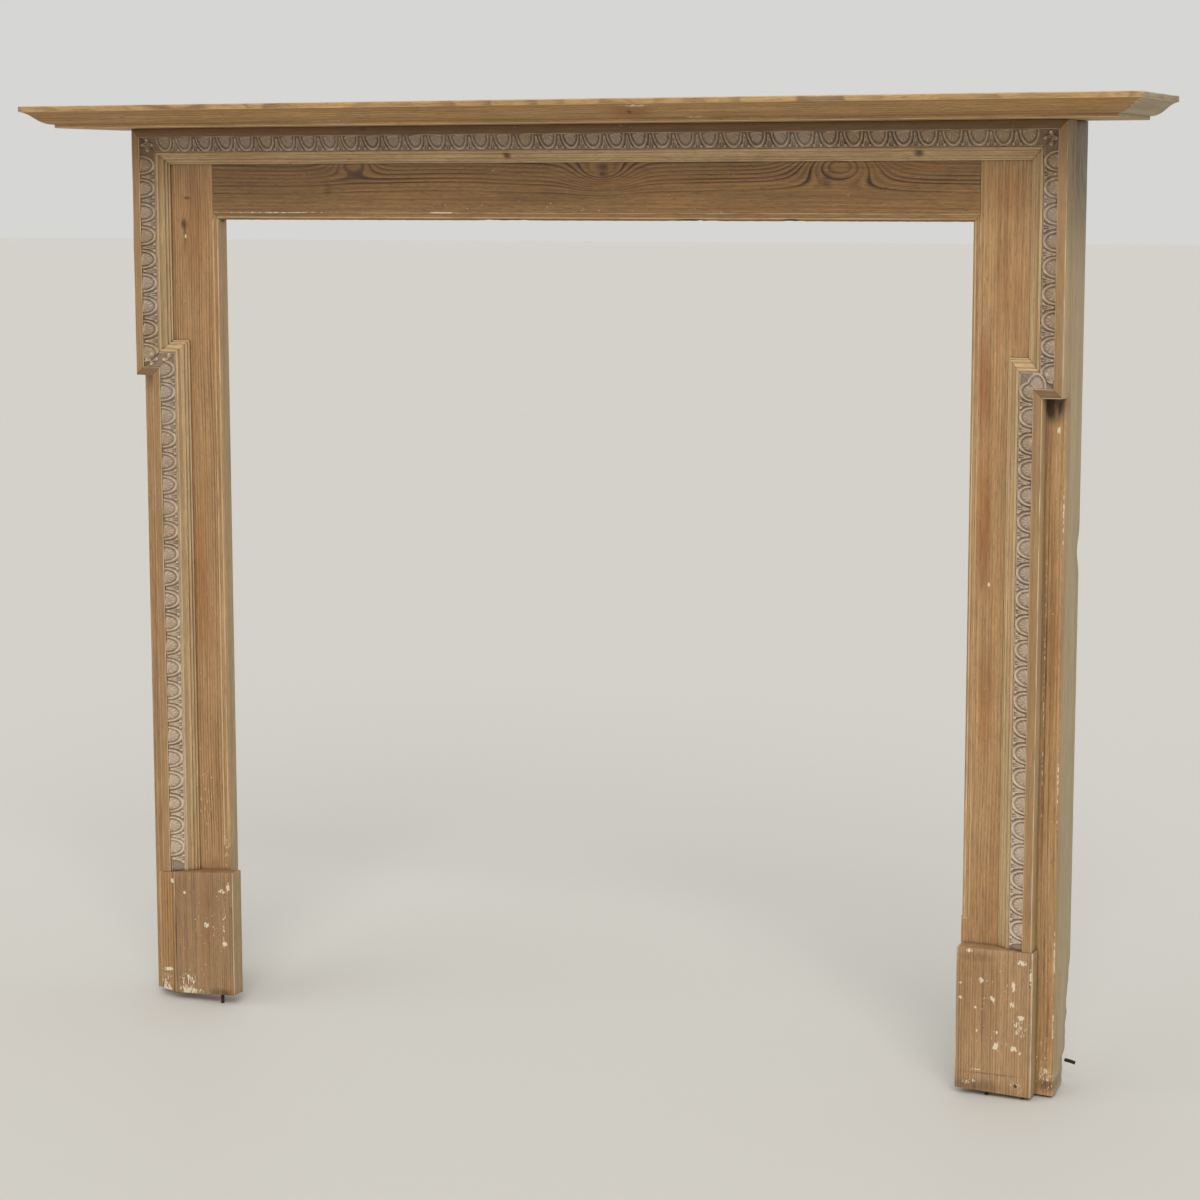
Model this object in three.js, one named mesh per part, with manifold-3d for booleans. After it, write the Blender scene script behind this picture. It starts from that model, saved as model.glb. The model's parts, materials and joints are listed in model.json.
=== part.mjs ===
// Pine fireplace mantel: an eared architrave with an egg-and-dart enrichment, planted on a
// framed surround with side returns and plinth blocks, under a shelf with a mitred cyma moulding.
//
// Millimetres, +Z up, +X to the right seen from the front, front towards -Y. The origin is the
// centre of the shelf's back edge, in the plane of the wall that the mantel is fixed to.

import * as THREE from 'three';
import { mergeVertices } from 'three/addons/utils/BufferGeometryUtils.js';
import Module from 'manifold-3d';

const wasm = await Module();
wasm.setup();

// Clearance between touching pieces, and what is too fine to keep where two forms meet
const GAP = 0.3;
const WELD = 0.05;

// Surround: the opening is what the stiles and the header leave, 1040 wide and 1069 high
const WIDTH_OVER_EARS = 1280;
const SURROUND_HEIGHT = 1190;
const SURROUND_DEPTH = 100;
const STILE_WIDTH = 120;
const HEADER_HEIGHT = 121;
const EAR_STEP = 25;
const EAR_LENGTH = 330;
const FRAME_THICK = 20;
const RETURN_THICK = 22;

// Architrave profile, from its outer edge inwards
const ARCHITRAVE_THICK = 22;
const BAND_WIDTH = 11.5;
const EGG_STRIP_WIDTH = 20;
const INNER_FILLET_WIDTH = 3;
const INNER_FILLET_DEPTH = 8.5;
const OGEE_WIDTH = 6.5;
const OGEE_END_DEPTH = 15;
const OGEE_HOLLOW_SHARE = 0.15;
const OGEE_HOLLOW_SINK = 1.5;
const OGEE_ROUND_SHARE = 0.55;
const OGEE_ROUND_RISE = 0.5;
const TRIM_FILLET_WIDTH = 3.5;
const TRIM_FILLET_DEPTH = 16.5;
const EDGE_FILLET_WIDTH = 2.5;
const EDGE_FILLET_DEPTH = 19;
const SEAT_OUTER_DEPTH = 9;
const SEAT_INNER_DEPTH = 15.5;

// Egg-and-dart strips
const GROUND_OUTER_DEPTH = 3.5;
const GROUND_INNER_DEPTH = 10;
const EGG_PITCH = 31.5;
const EGG_HALF_WIDTH = 12;
const EGG_LENGTH = 18.5;
const EGG_RIM_HEIGHT = 2.8;
const EGG_DOME_HEIGHT = 3;
const EGG_GROOVE_HEIGHT = 0.7;
const EGG_SEGMENTS = 6;
const EGG_RIM_SHARE = 0.93;
const EGG_GROOVE_SHARE = 0.72;
const EGG_DOME_SHARE = 0.45;
const DART_HALF_WIDTH = 3;
const DART_HEIGHT = 2.3;
const DART_POINT_SHARE = 0.05;
const DART_SUMMIT_SHARE = 0.8;
const DART_END_SHARE = 0.97;
const LEAF_HALF_WIDTH = 6;
const LEAF_HEIGHT = 2.4;
const LEAF_WAIST_SHARE = 0.2;
const LEAF_MARGIN = 1;
const LOWER_RUN_LEAD = 24;

// Moulding stuck on the arris of the opening
const ARRIS_WIDTH = 9;
const ARRIS_SINK = 1.2;
const ARRIS_ROUND_WIDTH = 3.5;
const ARRIS_ROUND_DEPTH = 5;
const ARRIS_STOP_ABOVE_PLINTH = 30;

// Shelf
const SHELF_SIDE_OVERHANG = 109;
const SHELF_FRONT_OVERHANG = 104;
const SHELF_THICK = 28;
const SHELF_MOULDING_WIDTH = 34;
const SHELF_TOP_FILLET = 7;
const SHELF_LOWER_FILLET = 4.5;
const CYMA_HOLLOW_SHARE = 0.42;
const CYMA_HOLLOW_SINK = 0.12;
const CYMA_ROUND_SHARE = 0.48;
const CYMA_ROUND_RISE = 0.04;
const CYMA_SEGMENTS = 10;

// Plinth blocks
const PLINTH_THICK = 24;
const PLINTH_RIGHT_WIDTH = 97;
const PLINTH_RIGHT_HEIGHT = 180;
const PLINTH_RIGHT_OUTSIDE = 3;
const PLINTH_LEFT_WIDTH = 91;
const PLINTH_LEFT_STRIP_WIDTH = 25;
const PLINTH_LEFT_OUTSIDE = 5;
const PLINTH_LEFT_HEIGHT = 172;
const PLINTH_LEFT_TOP_RISE = 8;
const PLINTH_WORN_ARRIS = 6;

// Wear of the feet and of the right-hand return board
const LEFT_FOOT_RISE = 6;
const RIGHT_FOOT_DROP = 5;
const LEFT_CORNER_BREAK = 12;
const RETURN_BREAK_HEIGHT = 150;
const RETURN_BREAK_DEPTH = 20;
const RETURN_BREAK_WIDTH = 9;
const SPLIT_HEIGHT = 700;
const SPLIT_LENGTH = 56;
const SPLIT_DEPTH = 6;
const SHELF_CHIP_WIDTH = 11;
const SHELF_CHIP_DEPTH = 5;
const CUT_CLEAR = 1;

// Iron nails left in the feet and in the back edge
const NAIL_SIZE = 3.5;
const NAIL_INSET = 9;
const NAIL_REACH = 9;
const NAIL_LEAN = 0.8;
const LEFT_NAIL_IN_PLINTH = 24;
const RIGHT_INNER_NAIL_IN_PLINTH = 39;
const RIGHT_OUTER_NAIL_IN_PLINTH = 12;
const BACK_NAIL_REACH = 10;
const BACK_NAIL_HEIGHT = 21;

const X = new THREE.Vector3(1, 0, 0);
const Y = new THREE.Vector3(0, 1, 0);
const Z = new THREE.Vector3(0, 0, 1);

// Places that follow from the sizes
const FOOT = -(SURROUND_HEIGHT + SHELF_THICK / 2);
const FACE = -SURROUND_DEPTH;
const FRAME_FACE = FACE + ARCHITRAVE_THICK;
const FRAME_BACK = FRAME_FACE + FRAME_THICK;
const EAR_HALF = WIDTH_OVER_EARS / 2;
const LEG_HALF = EAR_HALF - EAR_STEP;
const OPENING_HALF = EAR_HALF - STILE_WIDTH;
const JOINT_HALF = OPENING_HALF + ARRIS_WIDTH;
const SHELF_HALF = EAR_HALF + SHELF_SIDE_OVERHANG;
const SHELF_FRONT = FACE - SHELF_FRONT_OVERHANG;
const UNDERSIDE = FOOT + SURROUND_HEIGHT;
const TOP = FOOT + SURROUND_HEIGHT - GAP;
const EAR_Z = UNDERSIDE - EAR_LENGTH;
const HEAD_Z = UNDERSIDE - HEADER_HEIGHT;
const HALF_GAP = GAP / 2;
const MITRE_BACK = GAP / Math.SQRT2;
const STRIP_START = BAND_WIDTH + GAP;
const STRIP_END = BAND_WIDTH + EGG_STRIP_WIDTH - GAP;
const PLINTH_FACE = FRAME_FACE - PLINTH_THICK;
const LEFT_OUTER = -(LEG_HALF + PLINTH_LEFT_OUTSIDE);
const LEFT_JOINT = LEFT_OUTER + PLINTH_LEFT_STRIP_WIDTH;
const LEFT_INNER = LEFT_JOINT + PLINTH_LEFT_WIDTH;
const LEFT_TOP_SLOPE = PLINTH_LEFT_TOP_RISE / (LEFT_INNER - LEFT_OUTER);
const RIGHT_OUTER = LEG_HALF + PLINTH_RIGHT_OUTSIDE;
const RIGHT_INNER = RIGHT_OUTER - PLINTH_RIGHT_WIDTH;

const pine = new THREE.MeshStandardMaterial({ color: 0xb98d58, roughness: 0.6, metalness: 0 });
const redPine = new THREE.MeshStandardMaterial({ color: 0xa2764a, roughness: 0.6, metalness: 0 });
const greyPine = new THREE.MeshStandardMaterial({ color: 0x9b8a67, roughness: 0.75, metalness: 0 });
const composition = new THREE.MeshStandardMaterial({ color: 0x8f7b70, roughness: 0.8, metalness: 0 });
const iron = new THREE.MeshStandardMaterial({ color: 0x3a2a22, roughness: 0.85, metalness: 0.6 });

const mantel = new THREE.Group();
mantel.name = 'fireplace_mantel';

function add(name, geometry, material) {
  const mesh = new THREE.Mesh(closedBody(geometry), material);
  mesh.name = name;
  mantel.add(mesh);
}

// Volume under the triangles, negative where they face inwards
function signedVolume(geometry) {
  const corner = [new THREE.Vector3(), new THREE.Vector3(), new THREE.Vector3()];
  let volume = 0;
  for (let i = 0; i < geometry.index.count; i += 3) {
    corner.forEach((c, k) => {
      c.fromBufferAttribute(geometry.attributes.position, geometry.index.getX(i + k));
    });
    volume += corner[0].dot(corner[1].clone().cross(corner[2])) / 6;
  }
  return volume;
}

// One closed body with merged corners and its faces pointing out
function closedBody(geometry) {
  const body = geometry.clone();
  body.deleteAttribute('normal');
  body.deleteAttribute('uv');
  const merged = mergeVertices(body, 1e-5);
  if (signedVolume(merged) < 0) {
    const index = merged.index;
    for (let i = 0; i < index.count; i += 3) {
      const second = index.getX(i + 1);
      index.setX(i + 1, index.getX(i + 2));
      index.setX(i + 2, second);
    }
  }
  return merged;
}

function toSolid(geometry) {
  const body = closedBody(geometry);
  return new wasm.Manifold(new wasm.Mesh({
    numProp: 3,
    vertProperties: new Float32Array(body.attributes.position.array),
    triVerts: new Uint32Array(body.index.array),
  }));
}

function toGeometry(solid) {
  const mesh = solid.getMesh();
  const geometry = new THREE.BufferGeometry();
  geometry.setAttribute('position', new THREE.BufferAttribute(mesh.vertProperties, 3));
  geometry.setIndex(new THREE.BufferAttribute(mesh.triVerts, 1));
  return geometry;
}

// Moves every corner of a geometry through one function
function mapped(geometry, place) {
  const out = geometry.clone();
  const position = out.attributes.position;
  const corner = new THREE.Vector3();
  for (let i = 0; i < position.count; i += 1) {
    corner.fromBufferAttribute(position, i);
    const moved = place(corner);
    position.setXYZ(i, moved.x, moved.y, moved.z);
  }
  return out;
}

function box(low, high) {
  const size = high.clone().sub(low);
  const geometry = new THREE.BoxGeometry(size.x, size.y, size.z);
  geometry.translate(low.x + size.x / 2, low.y + size.y / 2, low.z + size.z / 2);
  return geometry;
}

// A flat piece: its outline seen from the front, extruded from one depth to another
function frontPlate(points, nearY, farY) {
  const shape = new THREE.Shape(points.map(([x, z]) => new THREE.Vector2(x, z)));
  const geometry = new THREE.ExtrudeGeometry(shape, { depth: 1, bevelEnabled: false });
  return mapped(geometry, (c) => new THREE.Vector3(c.x, nearY + c.z * (farY - nearY), c.y));
}

// A section extruded along a straight run. The section's x runs inwards from the run's outer
// edge and its y runs across. A mitre of 1 shortens the inner edge, -1 lengthens it, 0 is square.
function mitredRun(section, run, curveSegments = 5) {
  const geometry = new THREE.ExtrudeGeometry(section, { depth: 1, bevelEnabled: false, curveSegments });
  const along = run.to.clone().sub(run.from).normalize();
  const fromCut = run.fromCut ?? MITRE_BACK;
  const toCut = run.toCut ?? MITRE_BACK;
  return mapped(geometry, (c) => {
    const start = run.from.clone().addScaledVector(along, run.mitreFrom * c.x + fromCut);
    const end = run.to.clone().addScaledVector(along, -(run.mitreTo * c.x + toCut));
    return start.lerp(end, c.z).addScaledVector(run.inward, c.x).addScaledVector(run.across, c.y);
  });
}

// Height of a plinth's top at a place across the front
function plinthTop(side, x) {
  if (side > 0) {
    return FOOT + PLINTH_RIGHT_HEIGHT;
  }
  return FOOT + PLINTH_LEFT_HEIGHT + LEFT_TOP_SLOPE * (x - LEFT_OUTER);
}

// Underside of a foot at a place across the front
function sole(side, x) {
  const share = (EAR_HALF - Math.abs(x)) / (EAR_HALF - OPENING_HALF);
  return side < 0 ? FOOT + LEFT_FOOT_RISE * share : FOOT - RIGHT_FOOT_DROP * (1 - share);
}

// The architrave's runs along its outer edge: the top, then each side's upper length, ear and
// lower length
function architraveRuns() {
  const leafPlace = (STRIP_START + STRIP_END) / 2;
  const runs = [{
    name: 'top',
    from: new THREE.Vector3(-EAR_HALF, FACE, TOP),
    to: new THREE.Vector3(EAR_HALF, FACE, TOP),
    inward: Z.clone().negate(),
    across: Y,
    mitreFrom: 1,
    mitreTo: 1,
    eggs: Math.round((WIDTH_OVER_EARS - 2 * STRIP_END) / EGG_PITCH),
    firstCell: STRIP_END + CUT_CLEAR,
    filled: true,
    leaves: [leafPlace, WIDTH_OVER_EARS - leafPlace],
  }];
  for (const side of [-1, 1]) {
    const word = side < 0 ? 'left' : 'right';
    const inward = X.clone().multiplyScalar(-side);
    const lowerEnd = plinthTop(side, side * LEG_HALF);
    const upperLength = TOP - EAR_Z;
    const lowerLength = EAR_Z - lowerEnd;
    const earEggs = side > 0 ? 1 : 0;
    runs.push({
      name: `${word}_upper`,
      from: new THREE.Vector3(side * EAR_HALF, FACE, TOP),
      to: new THREE.Vector3(side * EAR_HALF, FACE, EAR_Z),
      inward,
      across: Y,
      mitreFrom: 1,
      mitreTo: 1,
      eggs: Math.floor((upperLength - STRIP_END - BAND_WIDTH) / EGG_PITCH),
      firstCell: STRIP_END + CUT_CLEAR,
      leaves: [leafPlace, upperLength - leafPlace],
    });
    runs.push({
      name: `${word}_ear`,
      from: new THREE.Vector3(side * EAR_HALF, FACE, EAR_Z),
      to: new THREE.Vector3(side * LEG_HALF, FACE, EAR_Z),
      inward: Z,
      across: Y,
      mitreFrom: 1,
      mitreTo: -1,
      eggs: earEggs,
      firstCell: leafPlace + (EAR_STEP - EGG_PITCH) / 2,
      leaves: earEggs > 0 ? [] : [leafPlace, leafPlace + EAR_STEP],
    });
    runs.push({
      name: `${word}_lower`,
      from: new THREE.Vector3(side * LEG_HALF, FACE, EAR_Z),
      to: new THREE.Vector3(side * LEG_HALF, FACE, lowerEnd),
      inward,
      across: Y,
      mitreFrom: -1,
      mitreTo: side < 0 ? LEFT_TOP_SLOPE : 0,
      toCut: GAP,
      eggs: Math.floor((lowerLength + LOWER_RUN_LEAD) / EGG_PITCH),
      firstCell: -LOWER_RUN_LEAD,
      leaves: [],
    });
  }
  return runs;
}

// Band, seat of the egg-and-dart strip, inner fillet, ogee, trim fillet and edge fillet
function architraveSection() {
  const fillet = BAND_WIDTH + EGG_STRIP_WIDTH;
  const ogee = fillet + INNER_FILLET_WIDTH;
  const trim = ogee + OGEE_WIDTH;
  const edge = trim + TRIM_FILLET_WIDTH;
  const inner = edge + EDGE_FILLET_WIDTH;
  const section = new THREE.Shape();
  section.moveTo(0, 0);
  section.lineTo(BAND_WIDTH, 0);
  section.lineTo(BAND_WIDTH, SEAT_OUTER_DEPTH);
  section.lineTo(fillet, SEAT_INNER_DEPTH);
  section.lineTo(fillet, INNER_FILLET_DEPTH);
  section.lineTo(ogee, INNER_FILLET_DEPTH);
  section.bezierCurveTo(
    ogee + OGEE_WIDTH * OGEE_HOLLOW_SHARE, (INNER_FILLET_DEPTH + OGEE_END_DEPTH) / 2 + OGEE_HOLLOW_SINK,
    ogee + OGEE_WIDTH * OGEE_ROUND_SHARE, OGEE_END_DEPTH - OGEE_ROUND_RISE,
    trim, OGEE_END_DEPTH,
  );
  section.lineTo(trim, TRIM_FILLET_DEPTH);
  section.lineTo(edge, TRIM_FILLET_DEPTH);
  section.lineTo(edge, EDGE_FILLET_DEPTH);
  section.lineTo(inner, EDGE_FILLET_DEPTH);
  section.lineTo(inner, ARCHITRAVE_THICK - GAP);
  section.lineTo(0, ARCHITRAVE_THICK - GAP);
  section.closePath();
  return section;
}

// Depth of the strip's ground behind the band's face, at a distance from the outer edge
function groundDepth(w) {
  const share = (w - STRIP_START) / (STRIP_END - STRIP_START);
  return THREE.MathUtils.lerp(GROUND_OUTER_DEPTH, GROUND_INNER_DEPTH, share);
}

// Depth of the strip's back, clear of its seat
function backDepth(w) {
  const slope = (SEAT_INNER_DEPTH - SEAT_OUTER_DEPTH) / EGG_STRIP_WIDTH;
  return SEAT_OUTER_DEPTH + slope * (w - BAND_WIDTH) - GAP * Math.hypot(1, slope);
}

// Closed mound on nested rings. Each ring is a list of [along, across, height], first the root
// ring, and the last entry is one summit.
function mound(rings, summit) {
  const count = rings[0].length;
  const positions = rings.flat(2).concat(summit);
  const top = rings.length * count;
  const index = [];
  for (let r = 0; r + 1 < rings.length; r += 1) {
    for (let i = 0; i < count; i += 1) {
      const next = (i + 1) % count;
      const a = r * count + i;
      const b = r * count + next;
      index.push(a, b, b + count, a, b + count, a + count);
    }
  }
  for (let i = 0; i < count; i += 1) {
    const next = (i + 1) % count;
    const last = (rings.length - 1) * count;
    index.push(last + i, last + next, top);
  }
  for (let i = 1; i + 1 < count; i += 1) {
    index.push(0, i + 1, i);
  }
  const geometry = new THREE.BufferGeometry();
  geometry.setAttribute('position', new THREE.Float32BufferAttribute(positions, 3));
  geometry.setIndex(index);
  return geometry;
}

// A point of the carving: along the run, across it from the strip's outer edge, above the ground
function carved(along, across, height = 0) {
  const w = STRIP_START + across;
  return [along, w, groundDepth(w) - height];
}

// Half ellipse open towards the band, shrunk about the middle of its open side
function eggRing(middle, scale, height) {
  const ring = [];
  for (let i = 0; i <= EGG_SEGMENTS; i += 1) {
    const angle = (Math.PI * i) / EGG_SEGMENTS;
    const along = middle + EGG_HALF_WIDTH * scale * Math.cos(angle);
    ring.push(carved(along, EGG_LENGTH * scale * Math.sin(angle), height));
  }
  return ring;
}

// Triangles between points, in the plane of the coordinates u and v, as one list of corners
function filled(contour, holes, u, v) {
  const flat = (ring) => ring.map((point) => new THREE.Vector2(point[u], point[v]));
  const points = contour.concat(...holes);
  const faces = THREE.ShapeUtils.triangulateShape(flat(contour), holes.map(flat));
  return faces.flatMap((face) => face.map((i) => points[i]));
}

// The same triangles, turned to face a direction
function facing(corners, direction) {
  const turned = [];
  for (let i = 0; i < corners.length; i += 3) {
    const [a, b, c] = corners.slice(i, i + 3).map((point) => new THREE.Vector3(...point));
    const away = b.clone().sub(a).cross(c.clone().sub(a)).dot(direction) < 0;
    turned.push(corners[i], corners[away ? i + 2 : i + 1], corners[away ? i + 1 : i + 2]);
  }
  return turned;
}

// Line across the strip between two zones, over the back of a dart where there is one
function zoneBorder(along, dart) {
  const line = [carved(along, 0)];
  if (dart) {
    line.push(carved(along, EGG_LENGTH * DART_POINT_SHARE));
    line.push(carved(along, EGG_LENGTH * DART_SUMMIT_SHARE, DART_HEIGHT));
    line.push(carved(along, EGG_LENGTH * DART_END_SHARE));
  }
  line.push(carved(along, STRIP_END - STRIP_START));
  return line;
}

// Half a dart on one side of a border: its two faces, and the border's ground line round it
function halfDart(line, inwards) {
  if (line.length === 2) {
    return { faces: [], ground: line };
  }
  const [outer, point, summit, end, inner] = line;
  const corner = carved(end[0] + inwards * DART_HALF_WIDTH, EGG_LENGTH * DART_END_SHARE);
  return { faces: [point, summit, corner, summit, end, corner], ground: [outer, point, corner, end, inner] };
}

// An egg in its rim, with a groove between them: its faces from the ground up to the dome
function eggFaces(middle) {
  const rings = [
    eggRing(middle, 1, 0),
    eggRing(middle, EGG_RIM_SHARE, EGG_RIM_HEIGHT),
    eggRing(middle, EGG_GROOVE_SHARE, EGG_GROOVE_HEIGHT),
    eggRing(middle, EGG_DOME_SHARE, EGG_DOME_HEIGHT),
  ];
  const faces = filled(rings.at(-1), [], 0, 1);
  for (let r = 0; r + 1 < rings.length; r += 1) {
    for (let i = 0; i < EGG_SEGMENTS; i += 1) {
      const [a, b, c, d] = [rings[r][i], rings[r][i + 1], rings[r + 1][i + 1], rings[r + 1][i]];
      faces.push(a, b, c, a, c, d);
    }
  }
  const openSide = rings.map((ring) => ring.at(-1)).concat(rings.map((ring) => ring[0]).reverse());
  return { faces, outline: rings[0], openSide };
}

// A small leaf across a mitre: four faces up to its summit
function leafFaces(place) {
  const middle = (STRIP_END - STRIP_START) / 2;
  const reach = middle - LEAF_MARGIN;
  const waist = middle - reach * LEAF_WAIST_SHARE;
  const outline = [
    carved(place + LEAF_HALF_WIDTH, waist),
    carved(place, middle + reach),
    carved(place - LEAF_HALF_WIDTH, waist),
    carved(place, middle - reach),
  ];
  const summit = carved(place, middle, LEAF_HEIGHT);
  const faces = outline.flatMap((corner, i) => [corner, outline[(i + 1) % outline.length], summit]);
  return { faces, outline };
}

// Closed faces of one zone between two borders, apart from the borders themselves
function zoneFaces(zone) {
  const lines = [zoneBorder(zone.from, zone.dartFrom), zoneBorder(zone.to, zone.dartTo)];
  const halves = [halfDart(lines[0], 1), halfDart(lines[1], -1)];
  const top = halves[0].faces.concat(halves[1].faces);
  let ground = halves[0].ground.concat(halves[1].ground.slice().reverse());
  let holes = [];
  let openSide = [];
  if (zone.egg !== undefined) {
    const egg = eggFaces(zone.egg);
    top.push(...egg.faces);
    ground = ground.concat(egg.outline);
    openSide = egg.openSide;
  } else if (zone.leaf !== undefined) {
    const leaf = leafFaces(zone.leaf);
    top.push(...leaf.faces);
    holes = [leaf.outline];
  }
  top.push(...filled(ground, holes, 0, 1));
  const back = [zone.from, zone.to].flatMap((along) => [
    [along, STRIP_START, backDepth(STRIP_START)],
    [along, STRIP_END, backDepth(STRIP_END)],
  ]);
  const outerSide = [back[0], lines[0][0], ...openSide, lines[1][0], back[2]];
  const innerSide = [back[1], lines[0].at(-1), lines[1].at(-1), back[3]];
  return [
    ...facing(top, new THREE.Vector3(0, 0, -1)),
    ...facing(filled(outerSide, [], 0, 2), new THREE.Vector3(0, -1, 0)),
    ...facing(filled(innerSide, [], 0, 2), new THREE.Vector3(0, 1, 0)),
    ...facing([back[0], back[1], back[3], back[0], back[3], back[2]], Z),
  ];
}

// How far past the run's end a strip starts, so that its cut crosses it whole
function spare(mitre) {
  return mitre < -HALF_GAP ? STRIP_END + CUT_CLEAR : CUT_CLEAR;
}

// Zones of a strip: one for each egg, and before and after them one for each leaf or a plain one
function stripZones(run, length) {
  const pitch = run.filled ? (length - 2 * run.firstCell) / run.eggs : EGG_PITCH;
  const eggsEnd = run.firstCell + run.eggs * pitch;
  const start = -spare(run.mitreFrom);
  const end = length + spare(run.mitreTo);
  const zones = [];
  const addLeaves = (from, to) => {
    const leaves = run.leaves.filter((place) => place > from && place < to);
    const between = leaves.slice(1).map((place, i) => (place + leaves[i]) / 2);
    const borders = [from, ...between, to];
    for (let i = 0; i + 1 < borders.length; i += 1) {
      zones.push({ from: borders[i], to: borders[i + 1], leaf: leaves[i] });
    }
  };
  if (run.eggs === 0) {
    addLeaves(start, end);
    return zones;
  }
  addLeaves(start, run.firstCell);
  for (let i = 0; i < run.eggs; i += 1) {
    const from = run.firstCell + i * pitch;
    const dartTo = i + 1 < run.eggs;
    zones.push({ from, to: from + pitch, egg: from + pitch / 2, dartFrom: i > 0, dartTo });
  }
  addLeaves(eggsEnd, end);
  return zones;
}

// A strip with its eggs, darts and leaves, cut off at the mitres
function eggStrip(run) {
  const length = run.to.distanceTo(run.from);
  const direction = run.to.clone().sub(run.from).normalize();
  const zones = stripZones(run, length);
  const corners = zones.flatMap(zoneFaces);
  for (const [along, outwards] of [[zones[0].from, -1], [zones.at(-1).to, 1]]) {
    const end = [
      carved(along, 0),
      carved(along, STRIP_END - STRIP_START),
      [along, STRIP_END, backDepth(STRIP_END)],
      [along, STRIP_START, backDepth(STRIP_START)],
    ];
    corners.push(...facing(filled(end, [], 1, 2), X.clone().multiplyScalar(outwards)));
  }
  const strip = new THREE.BufferGeometry();
  strip.setAttribute('position', new THREE.Float32BufferAttribute(corners.flat(), 3));
  const placed = mapped(strip, (c) => run.from.clone().addScaledVector(direction, c.x)
    .addScaledVector(run.inward, c.y).addScaledVector(run.across, c.z));
  const plan = new THREE.Shape([
    new THREE.Vector2(0, -ARCHITRAVE_THICK),
    new THREE.Vector2(BAND_WIDTH + EGG_STRIP_WIDTH, -ARCHITRAVE_THICK),
    new THREE.Vector2(BAND_WIDTH + EGG_STRIP_WIDTH, ARCHITRAVE_THICK),
    new THREE.Vector2(0, ARCHITRAVE_THICK),
  ]);
  return toGeometry(toSolid(placed).intersect(toSolid(mitredRun(plan, run))).simplify(WELD));
}

// What is cut from the square arris of the opening: x from the opening's edge into the board,
// y into its thickness
function arrisSection() {
  const section = new THREE.Shape();
  section.moveTo(ARRIS_WIDTH, -CUT_CLEAR);
  section.lineTo(ARRIS_WIDTH, ARRIS_SINK);
  section.lineTo(ARRIS_ROUND_WIDTH, ARRIS_SINK);
  section.quadraticCurveTo(0, ARRIS_SINK, 0, ARRIS_ROUND_DEPTH);
  section.lineTo(-CUT_CLEAR, ARRIS_ROUND_DEPTH);
  section.lineTo(-CUT_CLEAR, -CUT_CLEAR);
  section.closePath();
  return section;
}

function arrisCut(from, to, inward) {
  const cut = mitredRun(arrisSection(), { from, to, inward, across: Y, mitreFrom: 0, mitreTo: 0 }, 4);
  return toSolid(cut);
}

// Header board between the stiles, with mitred lower corners
function header() {
  const outline = [
    [-JOINT_HALF + HALF_GAP, TOP],
    [-JOINT_HALF + HALF_GAP, HEAD_Z + ARRIS_WIDTH],
    [-OPENING_HALF + MITRE_BACK, HEAD_Z],
    [OPENING_HALF - MITRE_BACK, HEAD_Z],
    [JOINT_HALF - HALF_GAP, HEAD_Z + ARRIS_WIDTH],
    [JOINT_HALF - HALF_GAP, TOP],
  ];
  const board = toSolid(frontPlate(outline, FRAME_FACE, FRAME_BACK));
  const reach = JOINT_HALF + ARRIS_WIDTH;
  const from = new THREE.Vector3(-reach, FRAME_FACE, HEAD_Z);
  const to = new THREE.Vector3(reach, FRAME_FACE, HEAD_Z);
  return toGeometry(board.subtract(arrisCut(from, to, Z)));
}

// Front outline of a stile's arris moulding, with a rounded lower end
function roundedStop(side, stop) {
  const steps = 5;
  const radius = ARRIS_WIDTH / 2 + CUT_CLEAR;
  const middle = OPENING_HALF + ARRIS_WIDTH / 2;
  const head = HEAD_Z + 2 * ARRIS_WIDTH;
  const points = [[side * (middle - radius), head]];
  for (let i = 0; i <= steps; i += 1) {
    const angle = (Math.PI * i) / steps;
    points.push([side * (middle - radius * Math.cos(angle)), stop + radius * (1 - Math.sin(angle))]);
  }
  points.push([side * (middle + radius), head]);
  return toSolid(frontPlate(points, FRAME_FACE - ARRIS_ROUND_DEPTH, FRAME_BACK));
}

// Stile board, full height, with its arris moulding stopped above the plinth
function stile(side) {
  const outline = [
    [side * EAR_HALF, sole(side, EAR_HALF)],
    [side * EAR_HALF, TOP],
    [side * (JOINT_HALF + HALF_GAP), TOP],
    [side * (JOINT_HALF + HALF_GAP), HEAD_Z + ARRIS_WIDTH],
    [side * OPENING_HALF, HEAD_Z - MITRE_BACK],
    [side * OPENING_HALF, sole(side, OPENING_HALF)],
  ];
  const board = toSolid(frontPlate(outline, FRAME_FACE, FRAME_BACK));
  const stop = plinthTop(side, side * OPENING_HALF) + ARRIS_STOP_ABOVE_PLINTH;
  const from = new THREE.Vector3(side * OPENING_HALF, FRAME_FACE, stop - ARRIS_WIDTH);
  const to = new THREE.Vector3(side * OPENING_HALF, FRAME_FACE, HEAD_Z + ARRIS_WIDTH);
  const cut = arrisCut(from, to, X.clone().multiplyScalar(side));
  return toGeometry(board.subtract(cut.intersect(roundedStop(side, stop))));
}

// Side board from the frame back to the wall
function returnBoard(side) {
  const outer = side * EAR_HALF;
  const inner = side * (EAR_HALF - RETURN_THICK);
  const low = new THREE.Vector3(Math.min(outer, inner), FRAME_BACK + GAP, sole(side, EAR_HALF));
  const high = new THREE.Vector3(Math.max(outer, inner), 0, TOP);
  return toSolid(box(low, high));
}

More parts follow.
